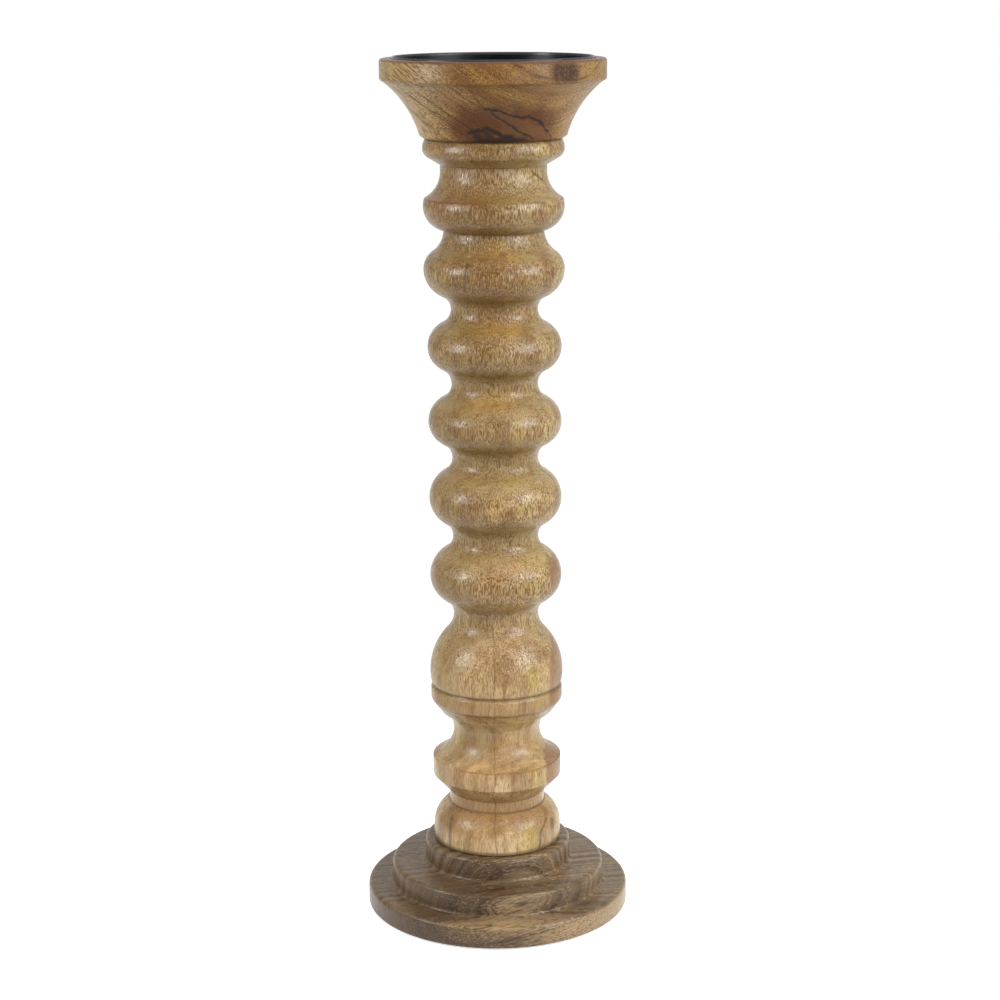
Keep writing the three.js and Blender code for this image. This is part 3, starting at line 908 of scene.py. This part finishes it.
# Marks in the wood, by their reach, strength, colour and the points that they run through.
COLUMN_PATCHES = [
    # brown heartwood at the front of the crown and the head
    (0.0220, 0.50, COLUMN_HEART, [(-0.0100, -0.0320, 0.3820), (-0.0060, -0.0330, 0.3250)]),
    # pink wood at the left of the head, and a dark stain under the cup's gum
    (0.0220, 0.45, COLUMN_PINK, [(-0.0220, -0.0230, 0.4080), (-0.0240, -0.0240, 0.3850)]),
    (0.0080, 0.60, COLUMN_HEART, [(-0.0035, -0.0362, 0.4120), (-0.0060, -0.0345, 0.4070)]),
    # golden wood on top of the crown and of the two beads below it
    (0.0100, 0.45, COLUMN_GOLD, [(0.0070, -0.0311, 0.3590), (0.0010, -0.0290, 0.3610)]),
    (0.0110, 0.45, COLUMN_GOLD, [(-0.0010, -0.0270, 0.3215), (0.0080, -0.0260, 0.3215)]),
    (0.0100, 0.40, COLUMN_GOLD, [(-0.0080, -0.0240, 0.2833), (0.0060, -0.0245, 0.2833)]),
    # brown spots on the neck under the crown and at the crown's right
    (0.0060, 0.60, COLUMN_HEART, [(-0.0060, -0.0220, 0.3290), (0.0010, -0.0227, 0.3275)]),
    (0.0100, 0.40, COLUMN_HEART, [(0.0200, -0.0300, 0.3480), (0.0260, -0.0250, 0.3470)]),
    # pink wood round the foot's shoulder
    (0.0200, 0.70, COLUMN_PINK, [(-0.0200, -0.0210, 0.0590), (0.0200, -0.0210, 0.0590)]),
    # paler wood low on the front of the ball, the flange and the foot; on the ball it is also a painted
    # highlight
    (0.0200, 0.25, COLUMN_PALE, [(-0.0100, -0.0330, 0.1330), (0.0120, -0.0330, 0.1360)]),
    (0.0120, 0.75, COLUMN_PALE, [(0.0040, -0.0344, 0.0770), (0.0180, -0.0300, 0.0770)]),
    (0.0120, 0.75, COLUMN_PALE, [(0.0010, -0.0345, 0.0420), (0.0110, -0.0325, 0.0420)]),
    # browner wood at the waist and on top of the flange
    (0.0150, 0.40, COLUMN_HEART, [(-0.0140, -0.0200, 0.1000), (0.0060, -0.0280, 0.0880)]),
    # yellow sapwood on the ball, the flange and the foot
    (0.0045, 0.65, COLUMN_YELLOW, [(0.0185, -0.0310, 0.1440), (0.0185, -0.0310, 0.1300)]),
    (0.0060, 0.55, COLUMN_YELLOW, [(0.0205, -0.0280, 0.0830), (0.0205, -0.0280, 0.0700)]),
    (0.0060, 0.55, COLUMN_YELLOW, [(0.0175, -0.0290, 0.0520), (0.0175, -0.0295, 0.0400)]),
]
COLUMN_LINES = [
    # crack down the head, and a branching mark at its right
    (0.0008, 0.50, COLUMN_CRACKS_AND_SHADE, [
        (-0.0102, -0.0348, 0.4142),
        (-0.0108, -0.0329, 0.4078),
        (-0.0115, -0.0251, 0.4000),
        (-0.0134, -0.0289, 0.3895),
    ]),
    (0.0010, 0.70, COLUMN_CRACKS_AND_SHADE, [
        (0.0163, -0.0252, 0.4048),
        (0.0210, -0.0179, 0.3997),
        (0.0247, -0.0133, 0.3965),
    ]),
    (0.0008, 0.60, COLUMN_CRACKS_AND_SHADE, [(0.0210, -0.0179, 0.3997), (0.0170, -0.0220, 0.3975)]),
    # open crack down the crown
    (0.0006, 0.45, COLUMN_LIGHT, [
        (-0.0124, -0.0234, 0.3678),
        (-0.0124, -0.0250, 0.3634),
        (-0.0129, -0.0288, 0.3591),
    ]),
    (0.0013, 0.65, COLUMN_CRACKS_AND_SHADE, [
        (-0.0134, -0.0320, 0.3560),
        (-0.0144, -0.0336, 0.3505),
        (-0.0150, -0.0313, 0.3425),
    ]),
    # open crack in the flange
    (0.0007, 0.8, COLUMN_LIGHT, [(-0.0220, -0.0104, 0.0945), (-0.0251, -0.0231, 0.0848)]),
    # dark lines on the foot
    (0.0012, 0.65, COLUMN_CRACKS_AND_SHADE, [
        (0.0263, -0.0182, 0.0530),
        (0.0233, -0.0250, 0.0478),
        (0.0226, -0.0261, 0.0384),
    ]),
    (0.0016, 0.6, COLUMN_CRACKS_AND_SHADE, [
        (-0.0245, -0.0200, 0.0538),
        (-0.0254, -0.0230, 0.0467),
        (-0.0256, -0.0232, 0.0384),
    ]),
    # dark patch on the foot
    (0.0028, 0.7, COLUMN_CRACKS_AND_SHADE, [(0.0298, -0.0155, 0.0502), (0.0300, -0.0165, 0.0478)]),
]
# Fine cracks down the lower front and the head, by place across, lower end, upper end and strength.
COLUMN_CHECKS = [
    (-0.0012, 0.0, 0.160, 0.4),
    (-0.0134, 0.335, 0.399, 0.35),
]


def column_material():
    material, tree, shader, place = new_material("light_lacquered_wood")
    axes = node(tree, "SeparateXYZ", {"Vector": place})
    height = axes["Z"]
    radius = axis_distance(tree, place)
    normal = node(tree, "TexCoord", {})["Normal"]
    upright = value(tree, "ABSOLUTE", node(tree, "SeparateXYZ", {"Vector": normal})["Z"])
    grain = grain_along(tree, place, COLUMN_PITH, COLUMN_GRAIN_TURN)
    figure = figure_along(tree, grain, COLUMN_FIGURE)
    from_pith = figure["Radius"]
    pores = pores_along(tree, grain, COLUMN_PORES)
    dots = pores_along(tree, grain, COLUMN_DOTS)
    patches = drawn_noise(tree, place, share=0.4, scale=36, detail=3)
    hues = drawn_noise(tree, place, share=0.6, scale=48, detail=3)
    hue = node(tree, "SeparateXYZ", {"Vector": hues["Color"]})

    upper = ramp(tree, wavy(tree, height, patches, reach=0.12), 0.05, 0.28)
    # painted shade: olive darkening in the narrow necks between the swells
    shaded_necks = ramp(tree, radius, 0.031, 0.023)
    swells = ramp(tree, radius, 0.029, 0.035)
    layer = ramp(tree, from_pith, COLUMN_LAYER, COLUMN_LAYER + 0.0006)
    under_layer = ramp(tree, from_pith, COLUMN_LAYER, COLUMN_LAYER - 0.0014)
    from_edge = value(tree, "ABSOLUTE", value(tree, "SUBTRACT", from_pith, COLUMN_LAYER))
    wood = mix(tree, upper, colour(COLUMN_PALE), colour(COLUMN_HONEY))
    wood = paint(tree, wood, [
        (shaded_necks, 0.12, COLUMN_OLIVE),
        (swells, 0.15, COLUMN_BROWN),
        (layer, 0.65, COLUMN_ORANGE),
        (under_layer, 0.35, COLUMN_OLIVE),
        (ramp(tree, from_edge, 0.0009, 0.0001), 0.35, COLUMN_BROWN),
        (ramp(tree, figure["Bands"], 0.55, 0.25), 0.35, COLUMN_OLIVE),
        # paler sapwood towards the right, which also paints in the light on the right side
        (ramp(tree, axes["X"], 0.0, 0.035), 0.6, COLUMN_SAP_AND_LIT_SIDE),
        (ramp(tree, hue["X"], 0.5, 0.66), 0.3, COLUMN_YELLOW),
        (ramp(tree, hue["Y"], 0.5, 0.66), 0.25, COLUMN_PINK),
    ])
    swayed = moved(tree, place, noise(tree, place, scale=130, detail=4), reach=0.014)
    wood = tint_strokes(tree, wood, swayed, COLUMN_PATCHES)

    long_streaks = drawn_noise(tree, grain, share=0.1, scale=260, detail=2)["Fac"]
    streaks = ramp(tree, long_streaks, 0.48, 0.68)
    clusters = drawn_noise(tree, grain, share=0.35, scale=75, detail=3)
    swell_clusters = times(
        tree,
        ramp(tree, clusters["Fac"], 0.5, 0.62),
        ramp(tree, radius, 0.027, 0.033, 0.4, 1.0),
    )
    cut_along = ramp(tree, upright, 0.85, 0.45, 0.5, 1.0)
    along = times(tree, cut_along, ramp(tree, height, 0.12, 0.165, 0.4, 1.0))
    grown = value(tree, "MAXIMUM", layer, ramp(tree, height, 0.28, 0.32))
    along = times(tree, along, ramp(tree, grown, 0.0, 1.0, 0.8, 1.0))
    between_fibres = ramp(tree, figure["Fibres"], 0.75, 0.0)
    dashes = drawn_noise(tree, grain, share=0.2, scale=1800, detail=2)["Fac"]
    slab_face = value(tree, "MULTIPLY_ADD", height, SLAB_LEAN, SLAB_START)
    slab_wave = value(tree, "MULTIPLY_ADD", value(tree, "SUBTRACT", hue["Z"], 0.5), SLAB_WAVE, axes["X"])
    slab = ramp(tree, value(tree, "SUBTRACT", slab_wave, slab_face), 0.0, 0.002)
    slab = times(tree, slab, ramp(tree, height, SLAB_BOTTOM - 0.002, SLAB_BOTTOM))
    slab = times(tree, slab, ramp(tree, height, 0.25, 0.2, 0.25, 1.0))
    dense = ramp(tree, layer, 0.0, 1.0, 0.75, 1.0)
    dense = times(tree, dense, ramp(tree, height, 0.125, 0.165, 0.55, 1.0))
    wood = paint(tree, wood, [
        (figure["Lines"], 0.3, COLUMN_BROWN),
        (streaks, 0.4, COLUMN_BROWN),
        (swell_clusters, 0.5, COLUMN_BROWN),
        (times(tree, between_fibres, along), 0.85, COLUMN_GRAIN),
        (times(tree, ramp(tree, dashes, 0.54, 0.64), along), 0.75, COLUMN_GRAIN),
        (times(tree, ramp(tree, dashes, 0.46, 0.36), along), 0.35, COLUMN_LIGHT),
        (slab, 0.8, COLUMN_SLAB),
        (times(tree, pores, dense), 0.9, COLUMN_GRAIN),
        (times(tree, dots, ramp(tree, upright, 0.35, 0.75)), 0.7, COLUMN_GRAIN),
    ])

    front = ramp(tree, axes["Y"], 0.0, -0.004)
    broken = ramp(tree, hue["Z"], 0.4, 0.55)
    winding = wavy(tree, axes["X"], noise(tree, place, scale=60, detail=3), reach=0.006)
    for across, low, high, strength in COLUMN_CHECKS:
        offset = value(tree, "ABSOLUTE", value(tree, "SUBTRACT", winding, across))
        line = times(tree, ramp(tree, offset, CHECK_WIDTH, CHECK_WIDTH / 6), front)
        lower_end = ramp(tree, height, low - CHECK_FADE, low)
        upper_end = ramp(tree, height, high + CHECK_FADE, high)
        line = times(tree, line, times(tree, lower_end, upper_end))
        wood = tint(tree, wood, times(tree, line, broken), strength, COLUMN_CRACKS_AND_SHADE)
    from_knot = vector_length(tree, vector_math(tree, "SUBTRACT", place, COLUMN_KNOT))
    from_knot = wavy(tree, from_knot, clusters, reach=0.016)
    circles = value(tree, "PINGPONG", value(tree, "DIVIDE", from_knot, KNOT_RING), 0.5)
    knot = times(tree, ramp(tree, circles, 0.15, 0.4), ramp(tree, from_knot, KNOT_RADIUS, 0.003))
    wood = tint(tree, wood, knot, 0.55, COLUMN_GRAIN)
    wood = tint_strokes(tree, wood, place, COLUMN_LINES)

    everywhere = ramp(tree, patches["Fac"], 0.1, 0.2)
    # painted shade: dark lines in the groove, the quirk, the steps, at the lip's lower edge and where the
    # column meets the base and the cup
    shaded_creases = [
        (LIP_RADIUS - GROOVE_DEPTH, groove_height, 0.0017, 0.6),
        (LIP_RADIUS - LIP_UNDERCUT - LIP_QUIRK, quirk_height, 0.0014, 0.5),
        (LOW_NECK_RADIUS, foot_top, 0.0012, 0.5),
        (CROWN_NECK_RADIUS, crown_step, 0.0014, 0.5),
        (HEAD_NECK_RADIUS, head_step, 0.0014, 0.4),
        (CAP_RADIUS - CAP_TOP_DROP, column_top, 0.0012, 0.6),
        (LIP_RADIUS - LIP_EDGE_ROUND, quirk_height + LIP_SLOPE_HEIGHT, 0.0012, 0.45),
        (FOOT_RADIUS, base_top, 0.0008, 0.8),
    ]
    # an olive-grey band that darkens the bottom of the foot, where it stands on the base
    foot_bottom_band = [(FOOT_RADIUS, base_top + 0.0008, 0.0022, 0.75)]
    lip = [(LIP_RADIUS, groove_height - LIP_WALL_HEIGHT, 0.009, 0.3)]
    quirk = [(LIP_RADIUS - LIP_UNDERCUT, quirk_height + 0.0003, 0.0009, 0.5)]
    wood = tint_rings(tree, wood, place, everywhere, shaded_creases, COLUMN_CRACKS_AND_SHADE)
    wood = tint_rings(tree, wood, place, everywhere, foot_bottom_band, COLUMN_GREY)
    wood = tint_rings(tree, wood, place, everywhere, lip, COLUMN_HEART)
    wood = tint_rings(tree, wood, place, everywhere, quirk, COLUMN_LIGHT)
    arrises = [
        (RING_RADIUS - RING_ARRIS_DROP, ring_arris, 0.0012, 0.7),
        (FLANGE_RADIUS, flange_top, 0.0009, 0.5),
    ]
    wood = tint_rings(tree, wood, place, broken, arrises, COLUMN_RED)
    lacquer(tree, shader, wood, figure["Fibres"], pores, COLUMN_ROUGHNESS, COLUMN_GLOSS)
    return material


column.data.materials.append(column_material())
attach(column, "holder")
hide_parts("column")


# Cup
# A flared dish with an upright rim band, turned from browner wood with slanting grain and a dark-lined
# spalted patch at the front. A socket below takes the column, and a seat on top takes the pan.
CUP_FOOT_RADIUS = 0.0355
CUP_FOOT_CHAMFER = 0.0024
CUP_FOOT_CHAMFER_HEIGHT = 0.0017
CUP_FLARE_HEIGHT = 0.0274
CUP_FLARE_CURVE = 0.053
CUP_RIM_LOWER_ROUND = 0.0016
CUP_RIM_TOP_ROUND = 0.0016
PAN_SEAT_RADIUS = 0.0524
CUP_SEGMENTS = 192


def hollow_to(radius, height, curve):
    """An arc of the given radius to a point, with its hollow side outwards."""
    end = pen()
    across = radius - end.x
    along = height - end.z
    half = math.hypot(across, along) / 2
    reach = math.sqrt(curve ** 2 - half ** 2) / (2 * half)
    centre_radius = end.x + across / 2 + along * reach
    centre_height = end.z + along / 2 - across * reach
    arc(centre_radius, centre_height, -2 * math.asin(half / curve))


cup_low, cup_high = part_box("cup")
pan_low, pan_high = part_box("candle_pan")
cup_rim_radius = cup_high.x
cup_top = cup_high.z
pan_seat = pan_low.z
cup_pocket_floor = pan_seat - POCKET_DEPTH
cup = start_outline("turned_cup", SOCKET_RADIUS, cup_low.z)
line_to(CUP_FOOT_RADIUS, cup_low.z)
line_to(CUP_FOOT_RADIUS + CUP_FOOT_CHAMFER, above(CUP_FOOT_CHAMFER_HEIGHT))
hollow_to(cup_rim_radius - CUP_RIM_LOWER_ROUND, above(CUP_FLARE_HEIGHT), CUP_FLARE_CURVE)
sweep_to(cup_rim_radius, above(CUP_RIM_LOWER_ROUND))
line_to(cup_rim_radius, cup_top - CUP_RIM_TOP_ROUND)
round_to(cup_rim_radius - CUP_RIM_TOP_ROUND, cup_top)
line_to(PAN_SEAT_RADIUS, cup_top)
line_to(PAN_SEAT_RADIUS, pan_seat)
line_to(POCKET_RADIUS, pan_seat)
line_to(POCKET_RADIUS, cup_pocket_floor)
line_to(ROD_BORE, cup_pocket_floor)
line_to(ROD_BORE, cup_low.z + SOCKET_DEPTH)
line_to(SOCKET_RADIUS, cup_low.z + SOCKET_DEPTH)
line_to(SOCKET_RADIUS, cup_low.z)
turn_outline(cup, CUP_SEGMENTS, WOOD_EASE)

CUP_BROWN = 0x906535
CUP_OCHRE = 0xb08649
CUP_GRAIN = 0x38220f
CUP_DARK = 0x553820
CUP_PORE = 0x432b17
CUP_SPALT = 0x1c120d
CUP_PATCH = 0x704a2b
CUP_STAIN = 0x5e3410
CUP_GREY = 0x382d2b
CUP_RIM_RED = 0x6b4430
CUP_PALE_AND_HIGHLIGHT = 0xc1a16c
CUP_GRAIN_TURN = (math.radians(57.3), math.radians(33.5), 0)
CUP_PITH = (0.025, -0.032, 0.537)
CUP_FIGURE = {"Ring Width": 0.0026, "Waviness": 0.005, "Fibre Length": 26.0}
CUP_PORES = {"Scale": 1500.0, "Length": 10.0, "Width": 0.46}
CUP_ROUGHNESS = 0.32
CUP_BRUISE_ROUGHNESS = 0.5
CUP_GLOSS = 0.22
CUP_SPOT_CORE = 0.35
CUP_LINES = [
    # upper edge of the patch
    (0.0010, 0.97, CUP_SPALT, [
        (-0.0043, -0.0454, 0.4342),
        (0.0042, -0.0443, 0.4326),
        (0.0126, -0.0408, 0.4295),
        (0.0177, -0.0389, 0.4295),
        (0.0231, -0.0345, 0.4273),
        (0.0268, -0.0287, 0.4219),
        (0.0289, -0.0226, 0.4175),
    ]),
    # line inside the patch
    (0.0009, 0.85, CUP_SPALT, [
        (-0.0008, -0.0440, 0.4318),
        (0.0067, -0.0406, 0.4267),
        (0.0152, -0.0358, 0.4210),
        (0.0203, -0.0322, 0.4186),
    ]),
    # streak below the patch
    (0.0017, 0.95, CUP_SPALT, [
        (-0.0117, -0.0375, 0.4219),
        (-0.0028, -0.0399, 0.4241),
        (0.0052, -0.0382, 0.4201),
        (0.0102, -0.0366, 0.4186),
    ]),
    # brown line above the patch
    (0.0011, 0.6, CUP_DARK, [
        (-0.0048, -0.0453, 0.4342),
        (-0.0116, -0.0526, 0.4434),
    ]),
    # long line at the left
    (0.0008, 0.6, CUP_DARK, [
        (-0.0416, -0.0274, 0.4395),
        (-0.0266, -0.0338, 0.4301),
        (-0.0166, -0.0366, 0.4244),
    ]),
    # nick under the rim
    (0.0009, 0.8, CUP_SPALT, [
        (-0.0386, -0.0411, 0.4457),
        (-0.0337, -0.0441, 0.4449),
    ]),
]
CUP_SPOTS = [
    # inside of the patch
    (0.0062, 0.75, CUP_PATCH, [(0.004, -0.042, 0.428), (0.022, -0.031, 0.4215)]),
    # brown round the lines
    (0.0055, 0.65, CUP_DARK, [(-0.003, -0.0445, 0.4325), (0.014, -0.0365, 0.422)]),
    # dark gum
    (0.0056, 0.92, CUP_SPALT, [(-0.0060, -0.0382, 0.4190), (0.0130, -0.0352, 0.4178)]),
]
CUP_STAINED = [(-0.008, -0.040, 0.424), (0.018, -0.035, 0.424)]
CUP_BRUISE = [(0.0325, -0.0480, 0.4517), (0.0390, -0.0429, 0.4517)]


def cup_material():
    material, tree, shader, place = new_material("brown_lacquered_wood")
    axes = node(tree, "SeparateXYZ", {"Vector": place})
    height = axes["Z"]
    grain = grain_along(tree, place, CUP_PITH, CUP_GRAIN_TURN)
    figure = figure_along(tree, grain, CUP_FIGURE)
    pores = pores_along(tree, grain, CUP_PORES)
    ragged = noise(tree, place, scale=420, detail=4, roughness=0.65)
    drawn = moved(tree, place, ragged, reach=0.003)
    torn = moved(tree, place, ragged, reach=0.006)
    drifted = moved(tree, torn, noise(tree, place, scale=110, detail=3), reach=0.016)

    # paler wood at the left and the right of the cup, which also paints in the highlights at its sides
    left = ramp(tree, axes["X"], -0.014, -0.040)
    right = ramp(tree, axes["X"], 0.026, 0.045)
    stained = ramp(tree, stroke_distance(tree, drifted, CUP_STAINED), 0.022, 0.006)
    between_fibres = ramp(tree, figure["Fibres"], 0.85, 0.0)
    wood = mix(tree, figure["Bands"], colour(CUP_BROWN), colour(CUP_OCHRE))
    wood = paint(tree, wood, [
        (left, 0.95, CUP_PALE_AND_HIGHLIGHT),
        (right, 0.45, CUP_PALE_AND_HIGHLIGHT),
        (stained, 0.95, CUP_STAIN),
        (between_fibres, 0.75, CUP_GRAIN),
        (figure["Lines"], 0.65, CUP_GRAIN),
        (pores, 0.85, CUP_PORE),
    ])
    wood = tint_strokes(tree, wood, drifted, CUP_SPOTS, core=CUP_SPOT_CORE)
    swell = ramp(tree, noise(tree, place, scale=500, detail=3)["Fac"], 0.35, 0.65, 0.75, 1.3)
    wood = tint_strokes(tree, wood, drawn, CUP_LINES, swell=swell)

    speckle = ramp(tree, noise(tree, place, scale=1100, detail=3)["Fac"], 0.36, 0.5, 0.6, 1.0)
    bruise = ramp(tree, stroke_distance(tree, torn, CUP_BRUISE), 0.0080, 0.0020)
    bruise = times(tree, bruise, speckle)
    flare_top = cup_low.z + CUP_FLARE_HEIGHT
    band = ramp(tree, height, flare_top, flare_top + 0.003)
    rim = ramp(tree, height, cup_top - CUP_RIM_TOP_ROUND, cup_top - CUP_RIM_TOP_ROUND / 3)
    foot = ramp(tree, height, cup_low.z + 0.0014, cup_low.z + 0.0002)
    wood = paint(tree, wood, [
        (bruise, 0.97, CUP_GREY),
        (band, 0.28, CUP_DARK),
        (rim, 0.75, CUP_RIM_RED),
        (foot, 0.7, CUP_DARK),
    ])
    roughness = value(tree, "MULTIPLY_ADD", bruise, CUP_BRUISE_ROUGHNESS, CUP_ROUGHNESS)
    lacquer(tree, shader, wood, figure["Fibres"], pores, roughness, CUP_GLOSS)
    return material


cup.data.materials.append(cup_material())
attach(cup, "holder")
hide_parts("cup")


# Upper washer and nut
# The same zinc-plated steel washer and nut as below, in the pocket in the cup's floor. The nut is
# screwed down the rod and draws the cup on to the column, and the pan hides both.
make_washer("upper_washer", "cup_washer")
make_nut("upper_nut", "cup_nut")


# Pan
# A shallow dish pressed from steel sheet with a rounded rim, coated satin black. It lies loose in the
# cup's seat, stands just proud of the wood and lifts out.
PAN_GAUGE = 0.0012
PAN_CORNER = 0.003
PAN_SEGMENTS = 192
PAN_EASE = 0.0002
PAN_BLACK = 0x0a0a0c
PAN_WORN = 0x121215
PAN_RIM_HIGHLIGHT = 0x57565a
PAN_CLOUD_SCALE = 45
PAN_GRIT_SCALE = 2200
PAN_GRIT_STRENGTH = 0.15
PAN_GRIT_DEPTH = 0.0001
PAN_GLOSS = 0.2
PAN_RIM_POLISH = 0.15

pan_radius = pan_high.x
pan_inner = pan_radius - PAN_GAUGE
pan_floor = pan_seat + PAN_GAUGE
pan_rim_radius = pan_radius - PAN_GAUGE / 2
pan_rim_height = pan_high.z - PAN_GAUGE / 2
pan = start_outline("black_pan", 0, pan_seat)
line_to(pan_radius - PAN_CORNER, pan_seat)
sweep_to(pan_radius, pan_seat + PAN_CORNER)
line_to(pan_radius, pan_rim_height)
arc(pan_rim_radius, pan_rim_height, math.pi)
line_to(pan_inner, pan_floor + PAN_CORNER - PAN_GAUGE)
round_to(pan_inner - PAN_CORNER + PAN_GAUGE, pan_floor)
line_to(0, pan_floor)
turn_outline(pan, PAN_SEGMENTS, PAN_EASE)


def pan_material():
    material, tree, shader, place = new_material("satin_black_coating")
    cloud = noise(tree, place, PAN_CLOUD_SCALE, detail=4)["Fac"]
    grit = noise(tree, place, PAN_GRIT_SCALE, detail=1)["Fac"]
    from_rim = ring_distance(tree, place, pan_rim_radius, pan_rim_height)
    # painted highlight: the rounded rim is painted a lighter grey, and its coating is made smoother
    rim_polish_and_glint = ramp(tree, from_rim, PAN_GAUGE, PAN_GAUGE / 2)
    coating = mix(tree, ramp(tree, cloud, 0.4, 0.75), colour(PAN_BLACK), colour(PAN_WORN))
    put(tree, shader["Base Color"], tint(tree, coating, rim_polish_and_glint, 0.6, PAN_RIM_HIGHLIGHT))
    satin = ramp(tree, cloud, 0.3, 0.7, 0.36, 0.46)
    put(tree, shader["Roughness"], value(tree, "MULTIPLY_ADD", rim_polish_and_glint, -PAN_RIM_POLISH, satin))
    shader["Specular IOR Level"].default_value = PAN_GLOSS
    relief(tree, shader, grit, PAN_GRIT_STRENGTH, PAN_GRIT_DEPTH)
    return material


pan.data.materials.append(pan_material())
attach(pan, "pan")
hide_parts("candle_pan")


# Studio
# A white floor that keeps the holder's soft shadow, a white backdrop, a soft box at each side, a small
# one at the front and a broad one overhead.
FLOOR_SIZE = 6.0
FLOOR_DROP = 0.0001
FLOOR_NEAR = (0.85, 0.85, 0.85, 1)
FLOOR_FAR = (0.12, 0.12, 0.12, 1)
FLOOR_GLOW = 0.62
NEAR_REACH = 0.1
FAR_REACH = 0.4
FLOOR_ROUGHNESS = 0.8
WHITE = (1, 1, 1, 1)
AIM_HEIGHT = 0.24
AMBIENT = 0.19
BACKDROP = 0.58
BACKDROP_SPREAD = (0.1, 0.8)
REFLECTED_SPREAD = (0.75, 0.98)


def white_rays(tree):
    """1 for rays straight from the camera, and 1 for rays off gloss or through glass: both see white."""
    rays = node(tree, "LightPath", {})
    shiny = value(tree, "MAXIMUM", rays["Is Glossy Ray"], rays["Is Transmission Ray"])
    return rays["Is Camera Ray"], shiny


def soft_box(name, azimuth, distance, height, width, tall, power):
    """An area lamp that faces the holder; azimuth 0 is the camera's side and 90 is at the right."""
    angle = math.radians(azimuth)
    spot = Vector((distance * math.sin(angle), -distance * math.cos(angle), height))
    facing = (Vector((0, 0, AIM_HEIGHT)) - spot).to_track_quat("-Z", "Y").to_euler()
    bpy.ops.object.light_add(type="AREA", location=spot, rotation=facing)
    lamp = bpy.context.object
    lamp.name = name
    lamp.data.shape = "RECTANGLE"
    lamp.data.size = width
    lamp.data.size_y = tall
    lamp.data.energy = power


bpy.ops.object.select_all(action="DESELECT")
bpy.ops.mesh.primitive_plane_add(size=FLOOR_SIZE, location=(0, 0, -FLOOR_DROP))
floor = bpy.context.object
floor.name = "floor"
paper, paper_tree, paper_shader, paper_place = new_material("white_paper")
away = ramp(paper_tree, vector_length(paper_tree, paper_place), NEAR_REACH, FAR_REACH)
put(paper_tree, paper_shader["Base Color"], mix(paper_tree, away, FLOOR_NEAR, FLOOR_FAR))
paper_shader["Roughness"].default_value = FLOOR_ROUGHNESS
paper_shader["Specular IOR Level"].default_value = 0.0
paper_shader["Emission Color"].default_value = WHITE
glow = value(paper_tree, "MULTIPLY_ADD", away, 1 - FLOOR_GLOW, FLOOR_GLOW)
paper_white = value(paper_tree, "MAXIMUM", *white_rays(paper_tree))
put(paper_tree, paper_shader["Emission Strength"], times(paper_tree, glow, paper_white))
floor.data.materials.append(paper)

soft_box("left_box", azimuth=-64, distance=0.75, height=0.50, width=0.23, tall=0.36, power=4.4)
soft_box("right_box", azimuth=60, distance=0.75, height=0.54, width=0.46, tall=0.40, power=5.8)
soft_box("front_box", azimuth=23, distance=0.75, height=0.32, width=0.14, tall=0.14, power=0.9)
soft_box("top_box", azimuth=30, distance=0.5, height=1.6, width=1.8, tall=1.8, power=11.5)

scene = bpy.context.scene
world = bpy.data.worlds.new("studio")
scene.world = world
world.use_nodes = True
sky_tree = world.node_tree
sky = sky_tree.nodes["Background"].inputs
sky["Color"].default_value = WHITE
direction = node(sky_tree, "TexCoord", {})["Generated"]
behind = node(sky_tree, "SeparateXYZ", {"Vector": direction})["Y"]
straight, shiny = white_rays(sky_tree)
seen_behind = times(sky_tree, shiny, ramp(sky_tree, behind, *REFLECTED_SPREAD))
white = value(sky_tree, "MAXIMUM", straight, seen_behind)
ambient = ramp(sky_tree, behind, *BACKDROP_SPREAD, AMBIENT, BACKDROP)
put(sky_tree, sky["Strength"], value(sky_tree, "MAXIMUM", white, ambient))

CAMERA_PLACE = (0.0, -1.15532, 0.50210)
CAMERA_LENS = 80.42
CAMERA_DOWN = math.radians(13.4385)
CAMERA_YAW = math.radians(-0.1205)
CAMERA_ROLL = math.radians(-0.303)
look = (
    Matrix.Rotation(CAMERA_YAW, 3, "Z")
    @ Matrix.Rotation(math.pi / 2 - CAMERA_DOWN, 3, "X")
    @ Matrix.Rotation(CAMERA_ROLL, 3, "Z")
)
bpy.ops.object.camera_add(location=CAMERA_PLACE, rotation=look.to_euler())
camera = bpy.context.object
camera.data.lens = CAMERA_LENS
scene.camera = camera
scene.view_settings.view_transform = "Standard"
